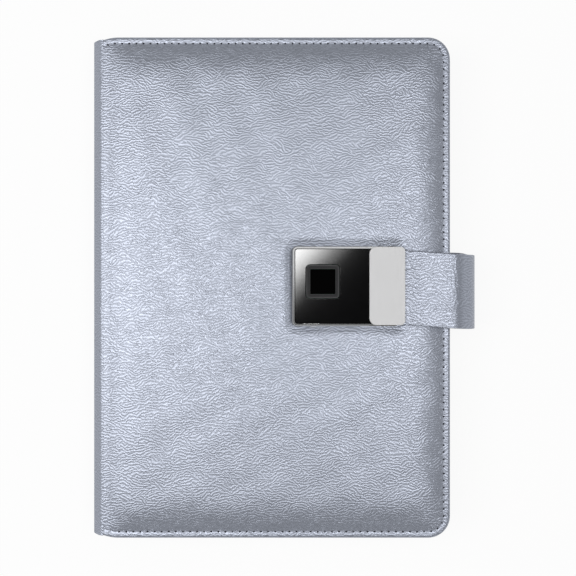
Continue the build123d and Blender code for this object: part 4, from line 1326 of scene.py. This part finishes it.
class NOTEBOOK_OT_stage(Operator):
    """Set up the white floor, the lamps and the camera straight above"""

    bl_idname = "notebook.stage"
    bl_label = "Studio"

    def execute(self, context):
        sizes = context.scene.notebook_studio
        self.floor()
        self.room(sizes)
        self.lamps(sizes.lamp_strength)
        self.camera(sizes)
        context.scene.view_settings.view_transform = "Standard"
        return {"FINISHED"}

    def seen(self, tree):
        """1 where the camera sees a surface directly, in a reflection or through glass."""
        path = add_node(tree, "ShaderNodeLightPath").outputs
        direct = calc(tree, "MAXIMUM", path["Is Camera Ray"], path["Is Glossy Ray"])
        return calc(tree, "MAXIMUM", direct, path["Is Transmission Ray"])

    def floor(self):
        """A floor that looks white and still takes the shadow."""
        bpy.ops.mesh.primitive_plane_add(size=6, location=(0, 0, -0.05 * MM))
        floor = added("floor")
        material, tree, shader = new_material("white_floor", (0.93, 0.93, 0.93), 0.9)
        white = add_node(tree, "ShaderNodeEmission", {"Color": (1, 1, 1, 1), "Strength": 1.0})
        mixed = add_node(tree, "ShaderNodeMixShader", {
            "Fac": calc(tree, "MULTIPLY", self.seen(tree), 0.9),
            1: shader.outputs["BSDF"],
            2: white.outputs["Emission"],
        })
        wire(tree, tree.nodes["Material Output"], {"Surface": mixed.outputs["Shader"]})
        dress(floor, material)

    def room(self, sizes):
        """White walls that fade to a darker ceiling, as seen, and an even light on everything else."""
        world = bpy.data.worlds.new("room")
        bpy.context.scene.world = world
        world.use_nodes = True
        tree = world.node_tree
        upward = separate(tree, add_node(tree, "ShaderNodeTexCoord").outputs["Generated"])["Z"]
        walls = remap(tree, upward, 0.45, 0.85, 1.0, sizes.ceiling_strength)
        level = remap(tree, self.seen(tree), 0.0, 1.0, sizes.world_strength, walls)
        wire(tree, tree.nodes["Background"], {"Color": (1, 1, 1, 1), "Strength": level})

    def lamps(self, strength):
        """Two large lamps for the leather, and small ones for the lock's rim and panel alone."""
        panel = ("touch_panel_finished",)
        rim = ("chrome_rim_finished",)
        polished = (*panel, *rim, "sensor_bezel_finished", "fingerprint_sensor_finished")
        self.lamp("left_lamp", (-0.50, 0.0, 1.1), (0.90, 0.54), 6.8 * strength, polished, "EXCLUDE")
        self.lamp("right_lamp", (0.27, 0.0, 1.1), (0.22, 0.54), 2.5 * strength, polished, "EXCLUDE")
        self.lamp("rim_lamp", (0.05, 0.06, 1.06), (0.20, 0.12), 0.055 * strength, rim, "INCLUDE")
        light_x, light_y = 0.0136, 0.0556
        strips = ((-0.009, 0.042, 1.40), (0.018, 0.012, 0.28), (0.030, 0.012, 0.145), (0.043, 0.014, 0.055))
        for index, (inward, width, power) in enumerate(strips):
            place = (light_x + inward * cos(pi / 4), light_y - inward * sin(pi / 4), 1.06)
            name = f"panel_lamp_{index + 1}"
            strip = self.lamp(name, place, (0.15, width), power * strength, panel, "INCLUDE")
            strip.rotation_euler.z = radians(45)

    def lamp(self, name, place, size, energy, names, state):
        """A lamp that lights only the named pieces, or all but these."""
        data = bpy.data.lights.new(name, "AREA")
        data.shape = "RECTANGLE"
        data.size, data.size_y = size
        data.energy = energy
        lamp = bpy.data.objects.new(name, data)
        lamp.location = place
        bpy.context.scene.collection.objects.link(lamp)
        group = bpy.data.collections.new(name + "_pieces")
        for piece in names:
            group.objects.link(bpy.data.objects[piece])
        for entry in group.collection_objects:
            entry.light_linking.link_state = state
        lamp.light_linking.receiver_collection = group
        return lamp

    def camera(self, sizes):
        data = bpy.data.cameras.new("camera")
        camera = bpy.data.objects.new("camera", data)
        bpy.context.scene.collection.objects.link(camera)
        camera.location = (sizes.camera_x, sizes.camera_y, body_top + sizes.camera_height)
        data.sensor_width = 36
        data.lens_unit = "MILLIMETERS"
        data.lens = data.sensor_width * sizes.camera_height / sizes.view_width
        data.clip_start = 0.01
        data.clip_end = 20
        bpy.context.scene.camera = camera


class NOTEBOOK_PT_panel(Panel):
    """Sizes, colours and pieces of the notebook"""

    bl_idname = "NOTEBOOK_PT_panel"
    bl_label = "Notebook"
    bl_space_type = "VIEW_3D"
    bl_region_type = "UI"
    bl_category = "Notebook"

    def draw(self, context):
        layout = self.layout
        for attribute, kind in settings_groups.items():
            group = getattr(context.scene, attribute)
            box = layout.box()
            box.label(text=kind.__doc__)
            for name in kind.__annotations__:
                box.prop(group, name)
        for kind in operators:
            layout.operator(kind.bl_idname)


settings_groups = {
    "notebook_leather": NotebookLeather,
    "notebook_stitching": NotebookStitching,
    "notebook_pages": NotebookPages,
    "notebook_lock": NotebookLock,
    "notebook_studio": NotebookStudio,
}
operators = (
    NOTEBOOK_OT_front_cover,
    NOTEBOOK_OT_back_cover,
    NOTEBOOK_OT_spine,
    NOTEBOOK_OT_linings,
    NOTEBOOK_OT_stitching,
    NOTEBOOK_OT_strap,
    NOTEBOOK_OT_pages,
    NOTEBOOK_OT_lock,
    NOTEBOOK_OT_hardware,
    NOTEBOOK_OT_stage,
)
classes = (*settings_groups.values(), *operators, NOTEBOOK_PT_panel)


def register():
    for kind in classes:
        bpy.utils.register_class(kind)
    for attribute, kind in settings_groups.items():
        setattr(bpy.types.Scene, attribute, PointerProperty(type=kind))


def unregister():
    for attribute in settings_groups:
        delattr(bpy.types.Scene, attribute)
    for kind in reversed(classes):
        bpy.utils.unregister_class(kind)


def main():
    register()
    bpy.ops.notebook.front_cover()
    bpy.ops.notebook.back_cover()
    bpy.ops.notebook.spine()
    bpy.ops.notebook.linings()
    bpy.ops.notebook.stitching()
    bpy.ops.notebook.strap()
    bpy.ops.notebook.pages()
    bpy.ops.notebook.lock()
    bpy.ops.notebook.hardware()
    bpy.ops.notebook.stage()


if __name__ == "__main__":
    main()
